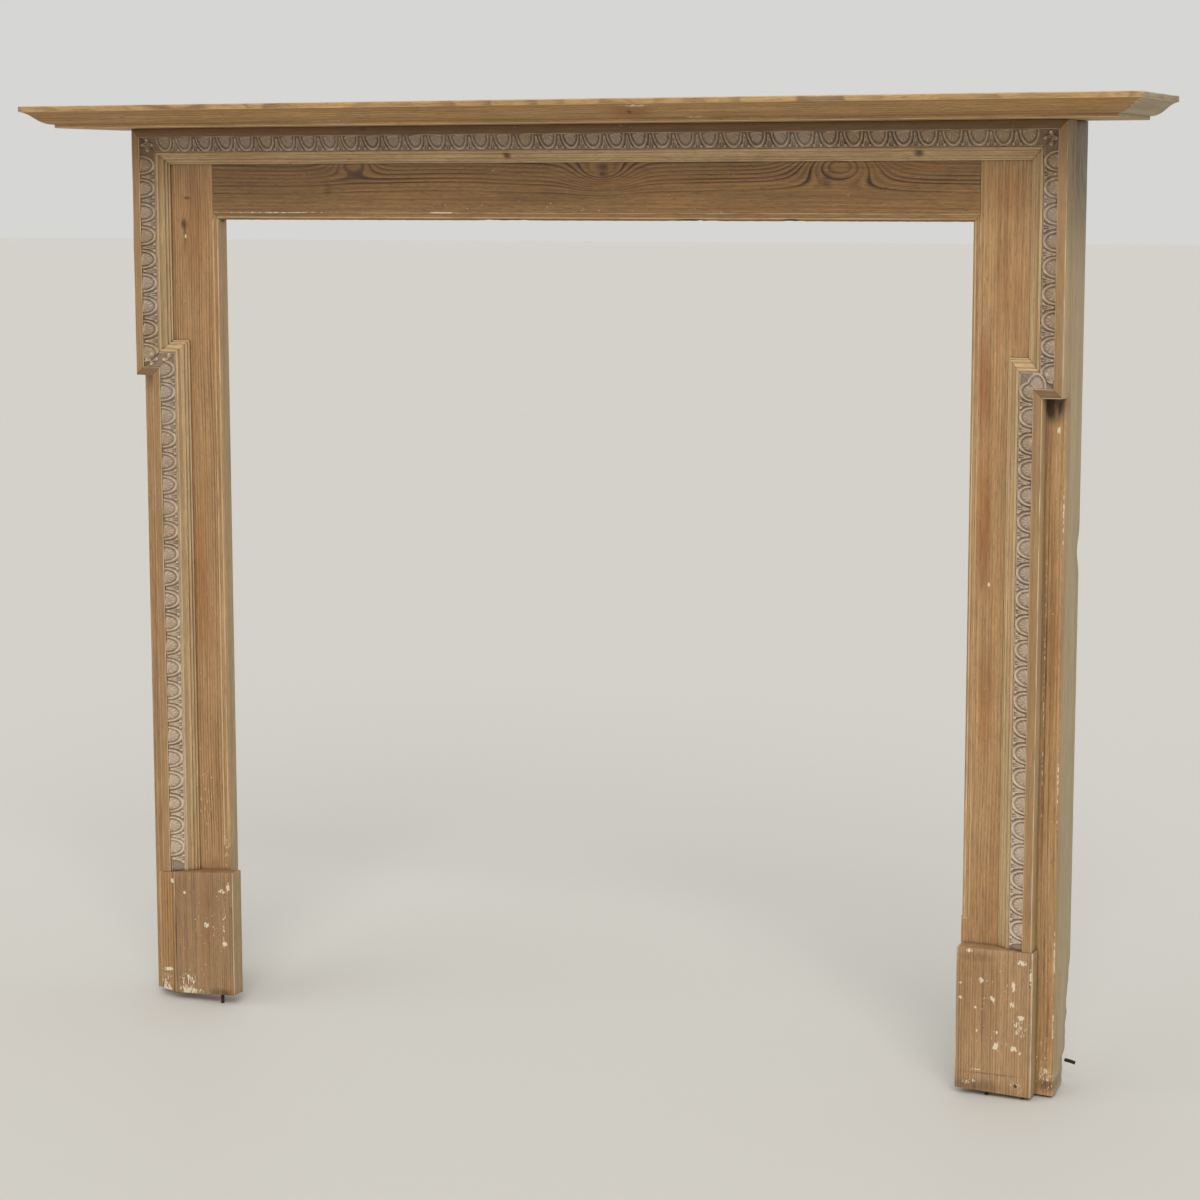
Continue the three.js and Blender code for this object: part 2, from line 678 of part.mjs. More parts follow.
// The right-hand return has lost its outer back arris near the floor and has a short split
function wornReturnBoard() {
  const low = sole(1, EAR_HALF) - CUT_CLEAR;
  const outside = EAR_HALF + CUT_CLEAR;
  const lost = mound([[
    [EAR_HALF - RETURN_BREAK_WIDTH, CUT_CLEAR, low],
    [outside, CUT_CLEAR, low],
    [outside, -RETURN_BREAK_DEPTH, low],
  ]], [outside, CUT_CLEAR, FOOT + RETURN_BREAK_HEIGHT]);
  const splitTop = FOOT + SPLIT_HEIGHT;
  const split = mound([[
    [outside, CUT_CLEAR, splitTop],
    [outside, CUT_CLEAR, splitTop - SPLIT_LENGTH],
    [outside, -SPLIT_DEPTH, splitTop - SPLIT_LENGTH],
  ]], [EAR_HALF - SPLIT_DEPTH, CUT_CLEAR, splitTop - SPLIT_LENGTH]);
  return toGeometry(returnBoard(1).subtract(toSolid(lost)).subtract(toSolid(split)));
}

// Front outline of a plinth piece between two places across the front
function plinthOutline(side, x0, x1) {
  return [
    [x0, sole(side, x0)],
    [x1, sole(side, x1)],
    [x1, plinthTop(side, x1)],
    [x0, plinthTop(side, x0)],
  ];
}

function plinthPlate(outline) {
  return frontPlate(outline, PLINTH_FACE, FRAME_FACE - GAP);
}

// Outer strip of the left plinth, with its lower corner broken away
function leftPlinthStrip() {
  const [heel, ...rest] = plinthOutline(-1, LEFT_OUTER, LEFT_JOINT - HALF_GAP);
  const broken = [
    [heel[0] + LEFT_CORNER_BREAK * 0.3, heel[1] + LEFT_CORNER_BREAK * 0.5],
    [heel[0] + LEFT_CORNER_BREAK * 0.8, heel[1]],
  ];
  return plinthPlate([...broken, ...rest, [heel[0], heel[1] + LEFT_CORNER_BREAK]]);
}

function leftPlinth() {
  return plinthPlate(plinthOutline(-1, LEFT_JOINT + HALF_GAP, LEFT_INNER));
}

// Right plinth, with its outer arris worn to a bevel
function rightPlinth() {
  const block = toSolid(plinthPlate(plinthOutline(1, RIGHT_INNER, RIGHT_OUTER)));
  const low = sole(1, RIGHT_OUTER) - CUT_CLEAR;
  const near = PLINTH_FACE - CUT_CLEAR;
  const bevel = new THREE.Shape([
    new THREE.Vector2(RIGHT_OUTER - PLINTH_WORN_ARRIS - CUT_CLEAR, near),
    new THREE.Vector2(RIGHT_OUTER + CUT_CLEAR, near),
    new THREE.Vector2(RIGHT_OUTER + CUT_CLEAR, PLINTH_FACE + PLINTH_WORN_ARRIS + CUT_CLEAR),
  ]);
  const depth = PLINTH_RIGHT_HEIGHT + RIGHT_FOOT_DROP + 2 * CUT_CLEAR;
  const cutter = new THREE.ExtrudeGeometry(bevel, { depth, bevelEnabled: false });
  cutter.translate(0, 0, low);
  return toGeometry(block.subtract(toSolid(cutter)));
}

// Top fillet over a cyma recta, in the moulding's width and height above the shelf's underside
function shelfSection() {
  const inner = SHELF_MOULDING_WIDTH - GAP;
  const filletBottom = SHELF_THICK - SHELF_TOP_FILLET;
  const drop = filletBottom - SHELF_LOWER_FILLET;
  const section = new THREE.Shape();
  section.moveTo(0, SHELF_THICK);
  section.lineTo(0, filletBottom);
  section.bezierCurveTo(
    inner * CYMA_HOLLOW_SHARE, filletBottom - drop * CYMA_HOLLOW_SINK,
    inner * CYMA_ROUND_SHARE, SHELF_LOWER_FILLET + drop * CYMA_ROUND_RISE,
    inner, SHELF_LOWER_FILLET,
  );
  section.lineTo(inner, SHELF_THICK);
  section.closePath();
  return section;
}

// The shelf's right front corner is knocked off
function shelfCornerChip() {
  const top = UNDERSIDE + SHELF_THICK + CUT_CLEAR;
  const outside = SHELF_HALF + CUT_CLEAR;
  const front = SHELF_FRONT - CUT_CLEAR;
  return toSolid(mound([[
    [outside, front, top],
    [outside - SHELF_CHIP_WIDTH, front, top],
    [outside, front + SHELF_CHIP_WIDTH, top],
  ]], [outside, front, top - SHELF_CHIP_DEPTH]));
}

function shelfFrontMoulding() {
  const run = {
    from: new THREE.Vector3(-SHELF_HALF, SHELF_FRONT, UNDERSIDE),
    to: new THREE.Vector3(SHELF_HALF, SHELF_FRONT, UNDERSIDE),
    inward: Y,
    across: Z,
    mitreFrom: 1,
    mitreTo: 1,
  };
  return toGeometry(toSolid(mitredRun(shelfSection(), run, CYMA_SEGMENTS)).subtract(shelfCornerChip()));
}

function shelfReturnMoulding(side) {
  const run = {
    from: new THREE.Vector3(side * SHELF_HALF, SHELF_FRONT, UNDERSIDE),
    to: new THREE.Vector3(side * SHELF_HALF, 0, UNDERSIDE),
    inward: X.clone().multiplyScalar(-side),
    across: Z,
    mitreFrom: 1,
    mitreTo: 0,
    toCut: 0,
  };
  const moulding = toSolid(mitredRun(shelfSection(), run, CYMA_SEGMENTS));
  return toGeometry(side > 0 ? moulding.subtract(shelfCornerChip()) : moulding);
}

function shelfBoard() {
  const half = SHELF_HALF - SHELF_MOULDING_WIDTH;
  const low = new THREE.Vector3(-half, SHELF_FRONT + SHELF_MOULDING_WIDTH, UNDERSIDE);
  return box(low, new THREE.Vector3(half, 0, UNDERSIDE + SHELF_THICK));
}

// A square cut nail bent along its length
function nail(points) {
  const half = NAIL_SIZE / 2;
  const section = new THREE.Shape([
    new THREE.Vector2(-half, -half),
    new THREE.Vector2(half, -half),
    new THREE.Vector2(half, half),
    new THREE.Vector2(-half, half),
  ]);
  const path = new THREE.CatmullRomCurve3(points);
  return new THREE.ExtrudeGeometry(section, { steps: 4, extrudePath: path, bevelEnabled: false });
}

// A nail standing out of the sole of a foot
function footNail(side, x, inset, lean) {
  const y = PLINTH_FACE + inset;
  const top = Math.min(sole(side, x - NAIL_SIZE), sole(side, x + NAIL_SIZE)) - 2 * GAP;
  const tip = FOOT - NAIL_REACH;
  return nail([
    new THREE.Vector3(x, y, top),
    new THREE.Vector3(x, y, (top + tip) / 2),
    new THREE.Vector3(x + lean, y - Math.abs(lean) * 0.3, tip + NAIL_SIZE / 3),
  ]);
}

// A nail bent outwards from the broken back arris of the right-hand return
function backNail() {
  const y = -NAIL_SIZE;
  const z = FOOT + BACK_NAIL_HEIGHT;
  const share = 1 - (BACK_NAIL_HEIGHT + NAIL_SIZE) / (RETURN_BREAK_HEIGHT + RIGHT_FOOT_DROP);
  const start = EAR_HALF - RETURN_BREAK_WIDTH * share * 0.5 + GAP;
  return nail([
    new THREE.Vector3(start, y, z),
    new THREE.Vector3((start + EAR_HALF + BACK_NAIL_REACH) / 2, y, z - NAIL_SIZE * 0.3),
    new THREE.Vector3(EAR_HALF + BACK_NAIL_REACH, y, z - NAIL_SIZE * 0.8),
  ]);
}

add('shelf_board', shelfBoard(), pine);
add('shelf_front_moulding', shelfFrontMoulding(), pine);
add('shelf_left_return_moulding', shelfReturnMoulding(-1), greyPine);
add('shelf_right_return_moulding', shelfReturnMoulding(1), greyPine);

add('header', header(), redPine);
add('left_stile', stile(-1), pine);
add('right_stile', stile(1), pine);
add('left_return', toGeometry(returnBoard(-1)), greyPine);
add('right_return', wornReturnBoard(), greyPine);

for (const run of architraveRuns()) {
  add(`architrave_${run.name}`, mitredRun(architraveSection(), run), pine);
  add(`egg_and_dart_${run.name}`, eggStrip(run), composition);
}

add('left_plinth', leftPlinth(), pine);
add('left_plinth_strip', leftPlinthStrip(), pine);
add('right_plinth', rightPlinth(), pine);

const leftNailX = LEFT_INNER - LEFT_NAIL_IN_PLINTH;
const rightInnerNailX = RIGHT_INNER + RIGHT_INNER_NAIL_IN_PLINTH;
const rightOuterNailX = RIGHT_OUTER - RIGHT_OUTER_NAIL_IN_PLINTH;
add('left_foot_nail', footNail(-1, leftNailX, NAIL_INSET, 0), iron);
add('right_foot_inner_nail', footNail(1, rightInnerNailX, NAIL_INSET, 0), iron);
add('right_foot_outer_nail', footNail(1, rightOuterNailX, NAIL_INSET, NAIL_LEAN), iron);
add('right_back_nail', backNail(), iron);

export default mantel;
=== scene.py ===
"""Fireplace mantel of stripped and waxed pine, with egg-and-dart strips of composition.

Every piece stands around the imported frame, in metres, with +Z up and the front towards -Y. Shapes are
worked out in millimetres, and MM turns them to metres.
"""
import functools
import json
import math

import bpy
import numpy as np
from bpy.props import FloatProperty, FloatVectorProperty, PointerProperty
from mathutils import Euler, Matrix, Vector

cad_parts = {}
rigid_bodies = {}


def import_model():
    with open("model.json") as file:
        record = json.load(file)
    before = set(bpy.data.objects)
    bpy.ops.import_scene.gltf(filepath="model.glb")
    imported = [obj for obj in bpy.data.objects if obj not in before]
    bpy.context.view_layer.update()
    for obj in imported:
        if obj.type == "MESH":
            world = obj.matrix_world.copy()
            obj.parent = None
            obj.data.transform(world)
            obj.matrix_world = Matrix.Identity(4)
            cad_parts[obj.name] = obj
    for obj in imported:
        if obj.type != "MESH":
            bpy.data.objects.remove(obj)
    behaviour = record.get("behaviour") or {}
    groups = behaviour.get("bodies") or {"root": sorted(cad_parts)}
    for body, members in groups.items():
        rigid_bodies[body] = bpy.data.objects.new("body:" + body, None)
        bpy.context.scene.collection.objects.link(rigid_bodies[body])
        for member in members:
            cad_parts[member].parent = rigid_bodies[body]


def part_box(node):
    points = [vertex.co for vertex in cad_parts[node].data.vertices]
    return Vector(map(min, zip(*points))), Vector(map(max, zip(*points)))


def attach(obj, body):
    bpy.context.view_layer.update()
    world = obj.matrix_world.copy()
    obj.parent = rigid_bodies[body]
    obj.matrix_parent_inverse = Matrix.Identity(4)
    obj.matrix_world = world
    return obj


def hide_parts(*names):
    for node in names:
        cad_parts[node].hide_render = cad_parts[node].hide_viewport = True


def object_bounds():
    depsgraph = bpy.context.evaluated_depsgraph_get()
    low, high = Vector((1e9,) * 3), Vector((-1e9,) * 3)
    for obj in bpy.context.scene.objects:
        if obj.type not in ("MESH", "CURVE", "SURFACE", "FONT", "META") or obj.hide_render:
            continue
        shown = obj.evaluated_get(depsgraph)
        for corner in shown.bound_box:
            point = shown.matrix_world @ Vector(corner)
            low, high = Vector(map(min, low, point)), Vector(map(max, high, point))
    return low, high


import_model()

bl_info = {
    "name": "Pine fireplace mantel",
    "version": (1, 0, 0),
    "blender": (4, 5, 0),
    "location": "3D View > Sidebar > Mantel",
    "description": "Dresses the packed frame of a pine mantel with worn boards, mouldings and carving",
    "category": "Add Mesh",
}

CAD_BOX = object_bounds()
MM = 0.001

# Clearance between touching pieces, and what a mitre is cut back by
GAP = 0.3
MITRE_BACK = GAP / math.sqrt(2)

# Edges steeper than this many degrees stay sharp
SHARP_ANGLE = 38

X, Y, Z = np.eye(3)


def low(cad_node, axis):
    """Lowest place of a node of the frame on an axis, in millimetres."""
    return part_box(cad_node)[0][axis] / MM


def high(cad_node, axis):
    """Highest place of a node of the frame on an axis, in millimetres."""
    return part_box(cad_node)[1][axis] / MM


def corners_of(cad_node):
    """Low and high corners of the box of a node of the frame, in millimetres."""
    return [np.array(corner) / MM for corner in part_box(cad_node)]


# Places taken from the frame
FACE = low("architrave_top", 1)
FRAME_FACE = low("header", 1)
FRAME_BACK = high("header", 1)
TOP = high("header", 2)
HEAD = low("header", 2)
EAR_HALF = high("right_stile", 0)
LEG_HALF = high("architrave_right_lower", 0)
OPENING_HALF = low("right_stile", 0)
EAR_Z = low("architrave_right_ear", 2)
UNDERSIDE = low("shelf_board", 2)
SHELF_TOP = high("shelf_board", 2)
FLOOR = low("left_foot_nail", 2)

# Architrave profile from its outer edge inwards: distances across it, and depths behind the band's face
BAND = 11.5
STRIP = 20.0
FILLET = 3.0
OGEE = 6.5
TRIM = 3.5
EDGE = 2.5
SEAT_DEPTHS = (9.0, 15.5)
FILLET_DEPTH = 8.5
OGEE_DEPTH = 15.0
TRIM_DEPTH = 16.5
EDGE_DEPTH = 19.0
BACK_DEPTH = FRAME_FACE - FACE - GAP
STRIP_START = BAND + GAP
STRIP_END = BAND + STRIP - GAP
EAR_STEP = EAR_HALF - LEG_HALF

# Egg-and-dart carving
EGG_PITCH = 31.5
EGG_HALF_WIDTH = 12.0
EGG_LENGTH = 18.5
LOWER_LEAD = 24.0
GROUND_DEPTHS = (3.5, 10.0)
CARVING_STEP = 0.75

# Egg: its rim's place and width and its dome's reach as shares of its size, and its flutes in a full turn
EGG_RIM = 0.93
EGG_RIM_WIDTH = 0.1
EGG_DOME = 0.74
FLUTES = 11

# Dart: where its arms start and how far they splay, and the place and radius of the curls at their ends
DART_ARM = 0.5
DART_SPLAY = 4.2
CURL_PLACE = (4.4, 16.2)
CURL_RADIUS = 0.9

# Leaf: radius between its lobes, and how far the lobes reach beyond it
LEAF_RADIUS = 4.5
LEAF_LOBE = 5.0

# Moulding on the arris of the opening
ARRIS = 9.0
ARRIS_SINK = 1.2
ARRIS_ROUND = 3.5
ARRIS_DEPTH = 5.0
STOP_RADIUS = 5.5
STOP_ABOVE_PLINTH = 30.0

# Stretches of the header's lower edge that are worn ragged, from and to along x
RAGGED = ((-137, -64), (129, 189), (275, 301))

# Shelf edge
SHELF_MOULDING = 34.0
SHELF_FILLET = 7.0
SHELF_LOWER_FILLET = 4.5
CHIP_WIDTH = 11.0
CHIP_DEPTH = 5.0
CHIP_CLEAR = 1.0

# Steps along the shelf's mouldings are fine up to the first distance from an end, and coarse from the second
MITRE_REACH = 26
PLAIN_FROM = 36

# Feet: the left plinth's top falls outwards and its sole rises inwards, the right sole drops outwards, and
# the left strip has lost its lower outer corner
PLINTH_FALL = 8.0
SOLE_RISE = 6.0
SOLE_DROP = 5.0
LOST_CORNER = 12.0

# Broken back arris of the right return and the split above it: heights above the foot, and reach inwards
# from the side and forwards from the back
BREAK_HEIGHT = 150.0
BREAK_IN = 8.6
BREAK_FORWARD = 17.0
SPLIT_HEIGHT = 668
SPLIT_LENGTH = 20.0
SPLIT_IN = 4.5
SPLIT_FORWARD = 5.0

# Noises of the pine: length along the grain and width across it in millimetres, and detail. Their order sets
# their seeds
GRAIN = {
    "bend": (420.0, 90.0, 1.0), "rise": (330.0, 900.0, 1.0), "faded": (190.0, 34.0, 2.0),
    "fibre": (22.0, 0.9, 3.0), "blush": (150.0, 26.0, 2.0), "ducts": (9.0, 0.7, 0.0),
    "streaks": (260.0, 2.8, 2.0), "clouds": (80.0, 26.0, 2.0), "patches": (40.0, 9.0, 2.0),
    "blots": (30.0, 5.0, 2.0), "flecks": (4.5, 2.2, 3.0),
}

# How much longer a knot's swerve and its heart are along the grain than across it
SWERVE_STRETCH = 2.1
HEART_STRETCH = 1.5

# Clouds, mottle and pits of the composition: size in millimetres and detail
PASTE_NOISES = ((90.0, 1.0), (6.0, 4.0), (0.9, 2.0))

# Flakes of rust, and how far grime and painted shade gather from a corner on pine and on composition
RUST_FLAKE = 1.5
PINE_GRIME_AND_SHADE = 6.0
PASTE_GRIME_AND_SHADE = 5.0

# Stage: half the floor in metres, its mottle in millimetres, the light all round, and each sun's turn and
# angle in degrees and its strength
FLOOR_HALF = 60.0
FLOOR_MOTTLE = 1000 / 3
SKY_STRENGTH = 0.85
SUNS = {"key": ((52.0, 0.0, 26.0), 30.0, 1.45), "fill": ((62.0, 0.0, -42.0), 60.0, 0.5)}

# Camera, calibrated on the object's own edges, and the photograph's frame
CAMERA_PLACE = (1.4767, -3.5297, -0.1006)
CAMERA_TURN = (82.095, 0.042, 22.691)
FOCAL_PIXELS = 2927.3
FRAME_PIXELS = 1200
SENSOR = 36.0


def linear(code):
    """Linear RGBA of an sRGB hex value: v / 12.92 up to 0.04045, and ((v + 0.055) / 1.055) ^ 2.4 above it."""
    values = [int(code[i:i + 2], 16) / 255 for i in (1, 3, 5)]
    return (*[v / 12.92 if v <= 0.04045 else ((v + 0.055) / 1.055) ** 2.4 for v in values], 1.0)


# Shapes


def wander(points, size, seed):
    """Smooth noise at points in millimetres: the sum of eight sines along random directions, each with a
    wavelength near the given size, scaled to lie mostly between -1 and 1."""
    rng = np.random.default_rng(seed)
    waves = rng.normal(size=(8, 3))
    lengths = np.linalg.norm(waves, axis=1, keepdims=True)
    waves *= 2 * math.pi / size * rng.uniform(0.6, 1.6, (8, 1)) / lengths
    return np.sin(points @ waves.T + rng.uniform(0, 2 * math.pi, 8)).sum(axis=-1) / 3.5


def smooth(values, start, end):
    """Smoothstep: 3 t^2 - 2 t^3, where t runs from 0 at start to 1 at end."""
    t = np.clip((values - start) / (end - start), 0, 1)
    return t * t * (3 - 2 * t)


def spread(start, end, step):
    """Evenly spaced places from start to end, about one step apart."""
    return np.linspace(start, end, max(2, int(round(abs(end - start) / step)) + 1))


def bezier(points, steps):
    """Cubic curve through four control points: (1-t)^3 P0 + 3 t (1-t)^2 P1 + 3 t^2 (1-t) P2 + t^3 P3."""
    t = np.linspace(0, 1, steps + 1)[:, None]
    p = np.asarray(points, float)
    return (1 - t) ** 3 * p[0] + 3 * t * (1 - t) ** 2 * p[1] + 3 * t ** 2 * (1 - t) * p[2] + t ** 3 * p[3]


def eased(corners, radii, wear, steps=3):
    """Closed outlines with eased corners, and how worn each point is. A corner C becomes the curve
    (1 - t)^2 A + 2 t (1 - t) C + t^2 B, where A and B lie its radius times the wear away along its two edges,
    and is worn by 0.06 + 3.9 t (1 - t). A corner of radius 0 stays one point and isn't worn."""
    corners = np.asarray(corners, float)
    radii = np.asarray(radii, float)
    reach = np.broadcast_to(radii * wear, corners.shape[:-1])[..., None]
    before = np.roll(corners, 1, axis=-2) - corners
    after = np.roll(corners, -1, axis=-2) - corners
    a = (corners + before / np.linalg.norm(before, axis=-1, keepdims=True) * reach)[..., None, :]
    b = (corners + after / np.linalg.norm(after, axis=-1, keepdims=True) * reach)[..., None, :]
    t = np.linspace(0, 1, steps + 1)[:, None]
    curve = (1 - t) ** 2 * a + 2 * t * (1 - t) * corners[..., None, :] + t ** 2 * b
    keep = ((radii[:, None] > 0) | (np.arange(steps + 1) == 0)).reshape(-1)
    worn = ((radii[:, None] > 0) * (0.06 + 3.9 * t[:, 0] * (1 - t[:, 0]))).reshape(-1)[keep]
    return curve.reshape(*corners.shape[:-2], -1, 2)[..., keep, :], worn


def shell(name, rings, replaced, material, values=None):
    """Closed mesh through rings of points in millimetres, each point joined to the same point of the next,
    with a flat face over the first ring and the last. The faces are turned outwards by the sign of the
    volume, a sixth of the sum of a . (b x c) over its triangles."""
    stations, count = rings.shape[:2]
    index = np.arange(stations * count).reshape(stations, count)
    ahead = np.roll(index, -1, axis=1)
    quads = np.stack([index[:-1], ahead[:-1], ahead[1:], index[1:]], axis=-1).reshape(-1, 4)
    points = rings.reshape(-1, 3)
    centred = points - points.mean(axis=0)
    a, b, c, d = (centred[quads[:, i]] for i in range(4))
    volume = (a * np.cross(b, c)).sum() + (a * np.cross(c, d)).sum()
    caps = [index[0][::-1], index[-1]]
    if volume < 0:
        quads = quads[:, ::-1]
        caps = [cap[::-1] for cap in caps]
    mesh = bpy.data.meshes.new(name)
    mesh.from_pydata((points * MM).tolist(), [], quads.tolist() + [cap.tolist() for cap in caps])
    worn = np.zeros((stations, count)) if values is None else np.broadcast_to(values, (stations, count))
    attribute = mesh.attributes.new("worn", "FLOAT", "POINT")
    attribute.data.foreach_set("value", worn.astype(np.float32).reshape(-1))
    mesh.materials.append(material)
    mesh.shade_smooth()
    mesh.set_sharp_from_angle(angle=math.radians(SHARP_ANGLE))
    piece = bpy.data.objects.new(name, mesh)
    bpy.context.scene.collection.objects.link(piece)
    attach(piece, "root")
    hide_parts(*replaced)


def plank(corner, far_corner, axis, ease, seed, step=24.0):
    """Board between two corners. Its section is a rectangle with eased arrises, carried along one axis, and
    drawn in at both ends by the ease. The arrises are eased more and less by a slow noise along them."""
    corner, far_corner = np.asarray(corner, float), np.asarray(far_corner, float)
    u, v = [i for i in range(3) if i != axis]
    start, end = corner[axis], far_corner[axis]
    middle = spread(start + ease, end - ease, step)
    places = np.concatenate([[start, start + ease * 0.3], middle, [end - ease * 0.3, end]])
    inset = np.concatenate([[ease, ease * 0.3], np.zeros(len(middle)), [ease * 0.3, ease]])[:, None]
    low_u, low_v = corner[u] + inset, corner[v] + inset
    high_u, high_v = far_corner[u] - inset, far_corner[v] - inset
    outline = np.stack([
        np.concatenate([low_u, high_u, high_u, low_u], axis=1),
        np.concatenate([low_v, low_v, high_v, high_v], axis=1),
    ], axis=-1)
    line = np.zeros((len(places), 4, 3))
    line[..., axis] = places[:, None]
    line[..., u] = outline[..., 0]
    line[..., v] = outline[..., 1]
    section, worn = eased(outline, [ease] * 4, 1 + 0.35 * wander(line, 60.0, seed))
    rings = np.empty((*section.shape[:2], 3))
    rings[..., axis] = places[:, None]
    rings[..., u] = section[..., 0]
    rings[..., v] = section[..., 1]
    return rings, worn


def run_length(run):
    """Length of a straight run along its outer edge."""
    return np.linalg.norm(run["to"] - run["from"])


def along_run(run, section, shares):
    """A section carried along a straight run. A point w inwards and d across lies at
    start + s along + w inward + d across, where s runs from from_mitre w to length - to_mitre w."""
    section = np.broadcast_to(section, (len(shares), *section.shape[-2:]))
    w, d = section[..., 0], section[..., 1]
    length = run_length(run)
    start = run["mitre_from"] * w + run.get("from_cut", MITRE_BACK)
    end = length - run["mitre_to"] * w - run.get("to_cut", MITRE_BACK)
    s = start + shares[:, None] * (end - start)
    direction = (run["to"] - run["from"]) / length
    points = run["from"] + s[..., None] * direction + w[..., None] * run["inward"]
    return points + d[..., None] * run["across"], s


def worn_length(run, corners, radii, shares, amount, size, seed):
    """A profile with eased corners carried along a run, and worn more and less by a slow noise."""
    middle = run["from"] + shares[:, None] * (run["to"] - run["from"])
    wear = 1 + amount * wander(middle, size, seed)[:, None]
    section, worn = eased(np.broadcast_to(corners, (len(shares), len(corners), 2)), radii, wear)
    points, _ = along_run(run, section, shares)
    return points, worn


# Shape of each piece


def plinth_top(side, x):
    """Height of a plinth's top: level on the right, and on the left a line that falls by PLINTH_FALL from the
    block's inner corner to the strip's outer one."""
    if side > 0:
        return np.full_like(np.asarray(x, float), high("right_plinth", 2))
    inner, outer = high("left_plinth", 0), low("left_plinth_strip", 0)
    return high("left_plinth", 2) - PLINTH_FALL * (inner - np.asarray(x, float)) / (inner - outer)


def sole(side, x):
    """Height of a foot's underside: a straight line that rises inwards on the left by SOLE_RISE, and drops
    outwards on the right by SOLE_DROP."""
    share = (EAR_HALF - np.abs(x)) / (EAR_HALF - OPENING_HALF)
    foot = low("left_return", 2)
    return foot + SOLE_RISE * share if side < 0 else foot - SOLE_DROP * (1 - share)


def architrave_runs():
    """The seven straight runs of the architrave along its outer edge, with their carving: the number of eggs,
    where the first egg's cell starts, and the places of the leaves."""
    leaf = (STRIP_START + STRIP_END) / 2
    width = 2 * EAR_HALF
    eggs = round((width - 2 * STRIP_END) / EGG_PITCH)
    first = STRIP_END + 1
    runs = {"top": {
        "from": np.array([-EAR_HALF, FACE, TOP]), "to": np.array([EAR_HALF, FACE, TOP]), "inward": -Z,
        "across": Y, "mitre_from": 1, "mitre_to": 1, "eggs": eggs, "first": first,
        "pitch": (width - 2 * first) / eggs, "leaves": [leaf, width - leaf],
    }}
    for side, word in ((-1, "left"), (1, "right")):
        end = float(plinth_top(side, side * LEG_HALF))
        upper, lower = TOP - EAR_Z, EAR_Z - end
        ear_eggs = 1 if side > 0 else 0
        slope = 0.0 if side > 0 else PLINTH_FALL / (high("left_plinth", 0) - low("left_plinth_strip", 0))
        outer, leg = np.array([side * EAR_HALF, FACE, 0]), np.array([side * LEG_HALF, FACE, 0])
        runs[f"{word}_upper"] = {
            "from": outer + Z * TOP, "to": outer + Z * EAR_Z, "inward": -side * X, "across": Y,
            "mitre_from": 1, "mitre_to": 1, "eggs": int((upper - STRIP_END - BAND) / EGG_PITCH),
            "first": first, "leaves": [leaf, upper - leaf],
        }
        runs[f"{word}_ear"] = {
            "from": outer + Z * EAR_Z, "to": leg + Z * EAR_Z, "inward": Z, "across": Y,
            "mitre_from": 1, "mitre_to": -1, "eggs": ear_eggs, "first": leaf + (EAR_STEP - EGG_PITCH) / 2,
            "leaves": [] if ear_eggs else [leaf, leaf + EAR_STEP],
        }
        runs[f"{word}_lower"] = {
            "from": leg + Z * EAR_Z, "to": leg + Z * end, "inward": -side * X, "across": Y,
            "mitre_from": -1, "mitre_to": slope, "to_cut": GAP,
            "eggs": int((lower + LOWER_LEAD) / EGG_PITCH), "first": -LOWER_LEAD, "leaves": [],
        }
    return runs


def architrave_section(ease):
    """Corners of the architrave's profile with what eases them: band, seat, fillet, ogee, trim and edge."""
    fillet = BAND + STRIP
    ogee, trim = fillet + FILLET, fillet + FILLET + OGEE
    edge, inner = trim + TRIM, trim + TRIM + EDGE
    curve = bezier([
        (ogee, FILLET_DEPTH),
        (ogee + OGEE * 0.15, (FILLET_DEPTH + OGEE_DEPTH) / 2 + 1.5),
        (ogee + OGEE * 0.55, OGEE_DEPTH - 0.5),
        (trim, OGEE_DEPTH),
    ], 8)
    corners = [
        (0, 0), (BAND, 0), (BAND, SEAT_DEPTHS[0]), (fillet, SEAT_DEPTHS[1]), (fillet, FILLET_DEPTH), *curve,
        (trim, TRIM_DEPTH), (edge, TRIM_DEPTH), (edge, EDGE_DEPTH), (inner, EDGE_DEPTH), (inner, BACK_DEPTH),
        (0, BACK_DEPTH),
    ]
    radii = [ease, ease * 0.7, 0, 0, ease * 0.6, 0.5, *[0] * (len(curve) - 1), 0, 0.5, 0, 0.5, 0, 0]
    return corners, radii


def architrave_length(run, ease, seed):
    """One length of the architrave: its eased profile along the run, worn more and less by a slow noise."""
    shares = spread(0, 1, 10.0 / run_length(run))
    return worn_length(run, *architrave_section(ease), shares, 0.4, 45.0, seed)


def egg_form(s, w, sizes, turn):
    """Heights of an egg's rim and of the egg, and its flutes from -1 to 1. With q the length of
    (s / half width, w / length), the rim is a bell curve of q about EGG_RIM, the egg a half dome inside
    q = EGG_DOME, and its flutes a cosine of the angle about its open end."""
    q = np.hypot(s / EGG_HALF_WIDTH, w / EGG_LENGTH)
    angle = np.arctan2(w / EGG_LENGTH, s / EGG_HALF_WIDTH)
    rim = sizes.rim_height / MM * np.exp(-((q - EGG_RIM) / EGG_RIM_WIDTH) ** 2)
    inside = np.clip(1 - (q / EGG_DOME) ** 2, 0, 1)
    flutes = np.cos(angle * FLUTES + turn) * smooth(q, 0.1, 0.35) * smooth(inside, 0, 0.3)
    return rim, (sizes.dome_height * inside ** 0.5 + sizes.flute_depth * flutes) / MM, flutes


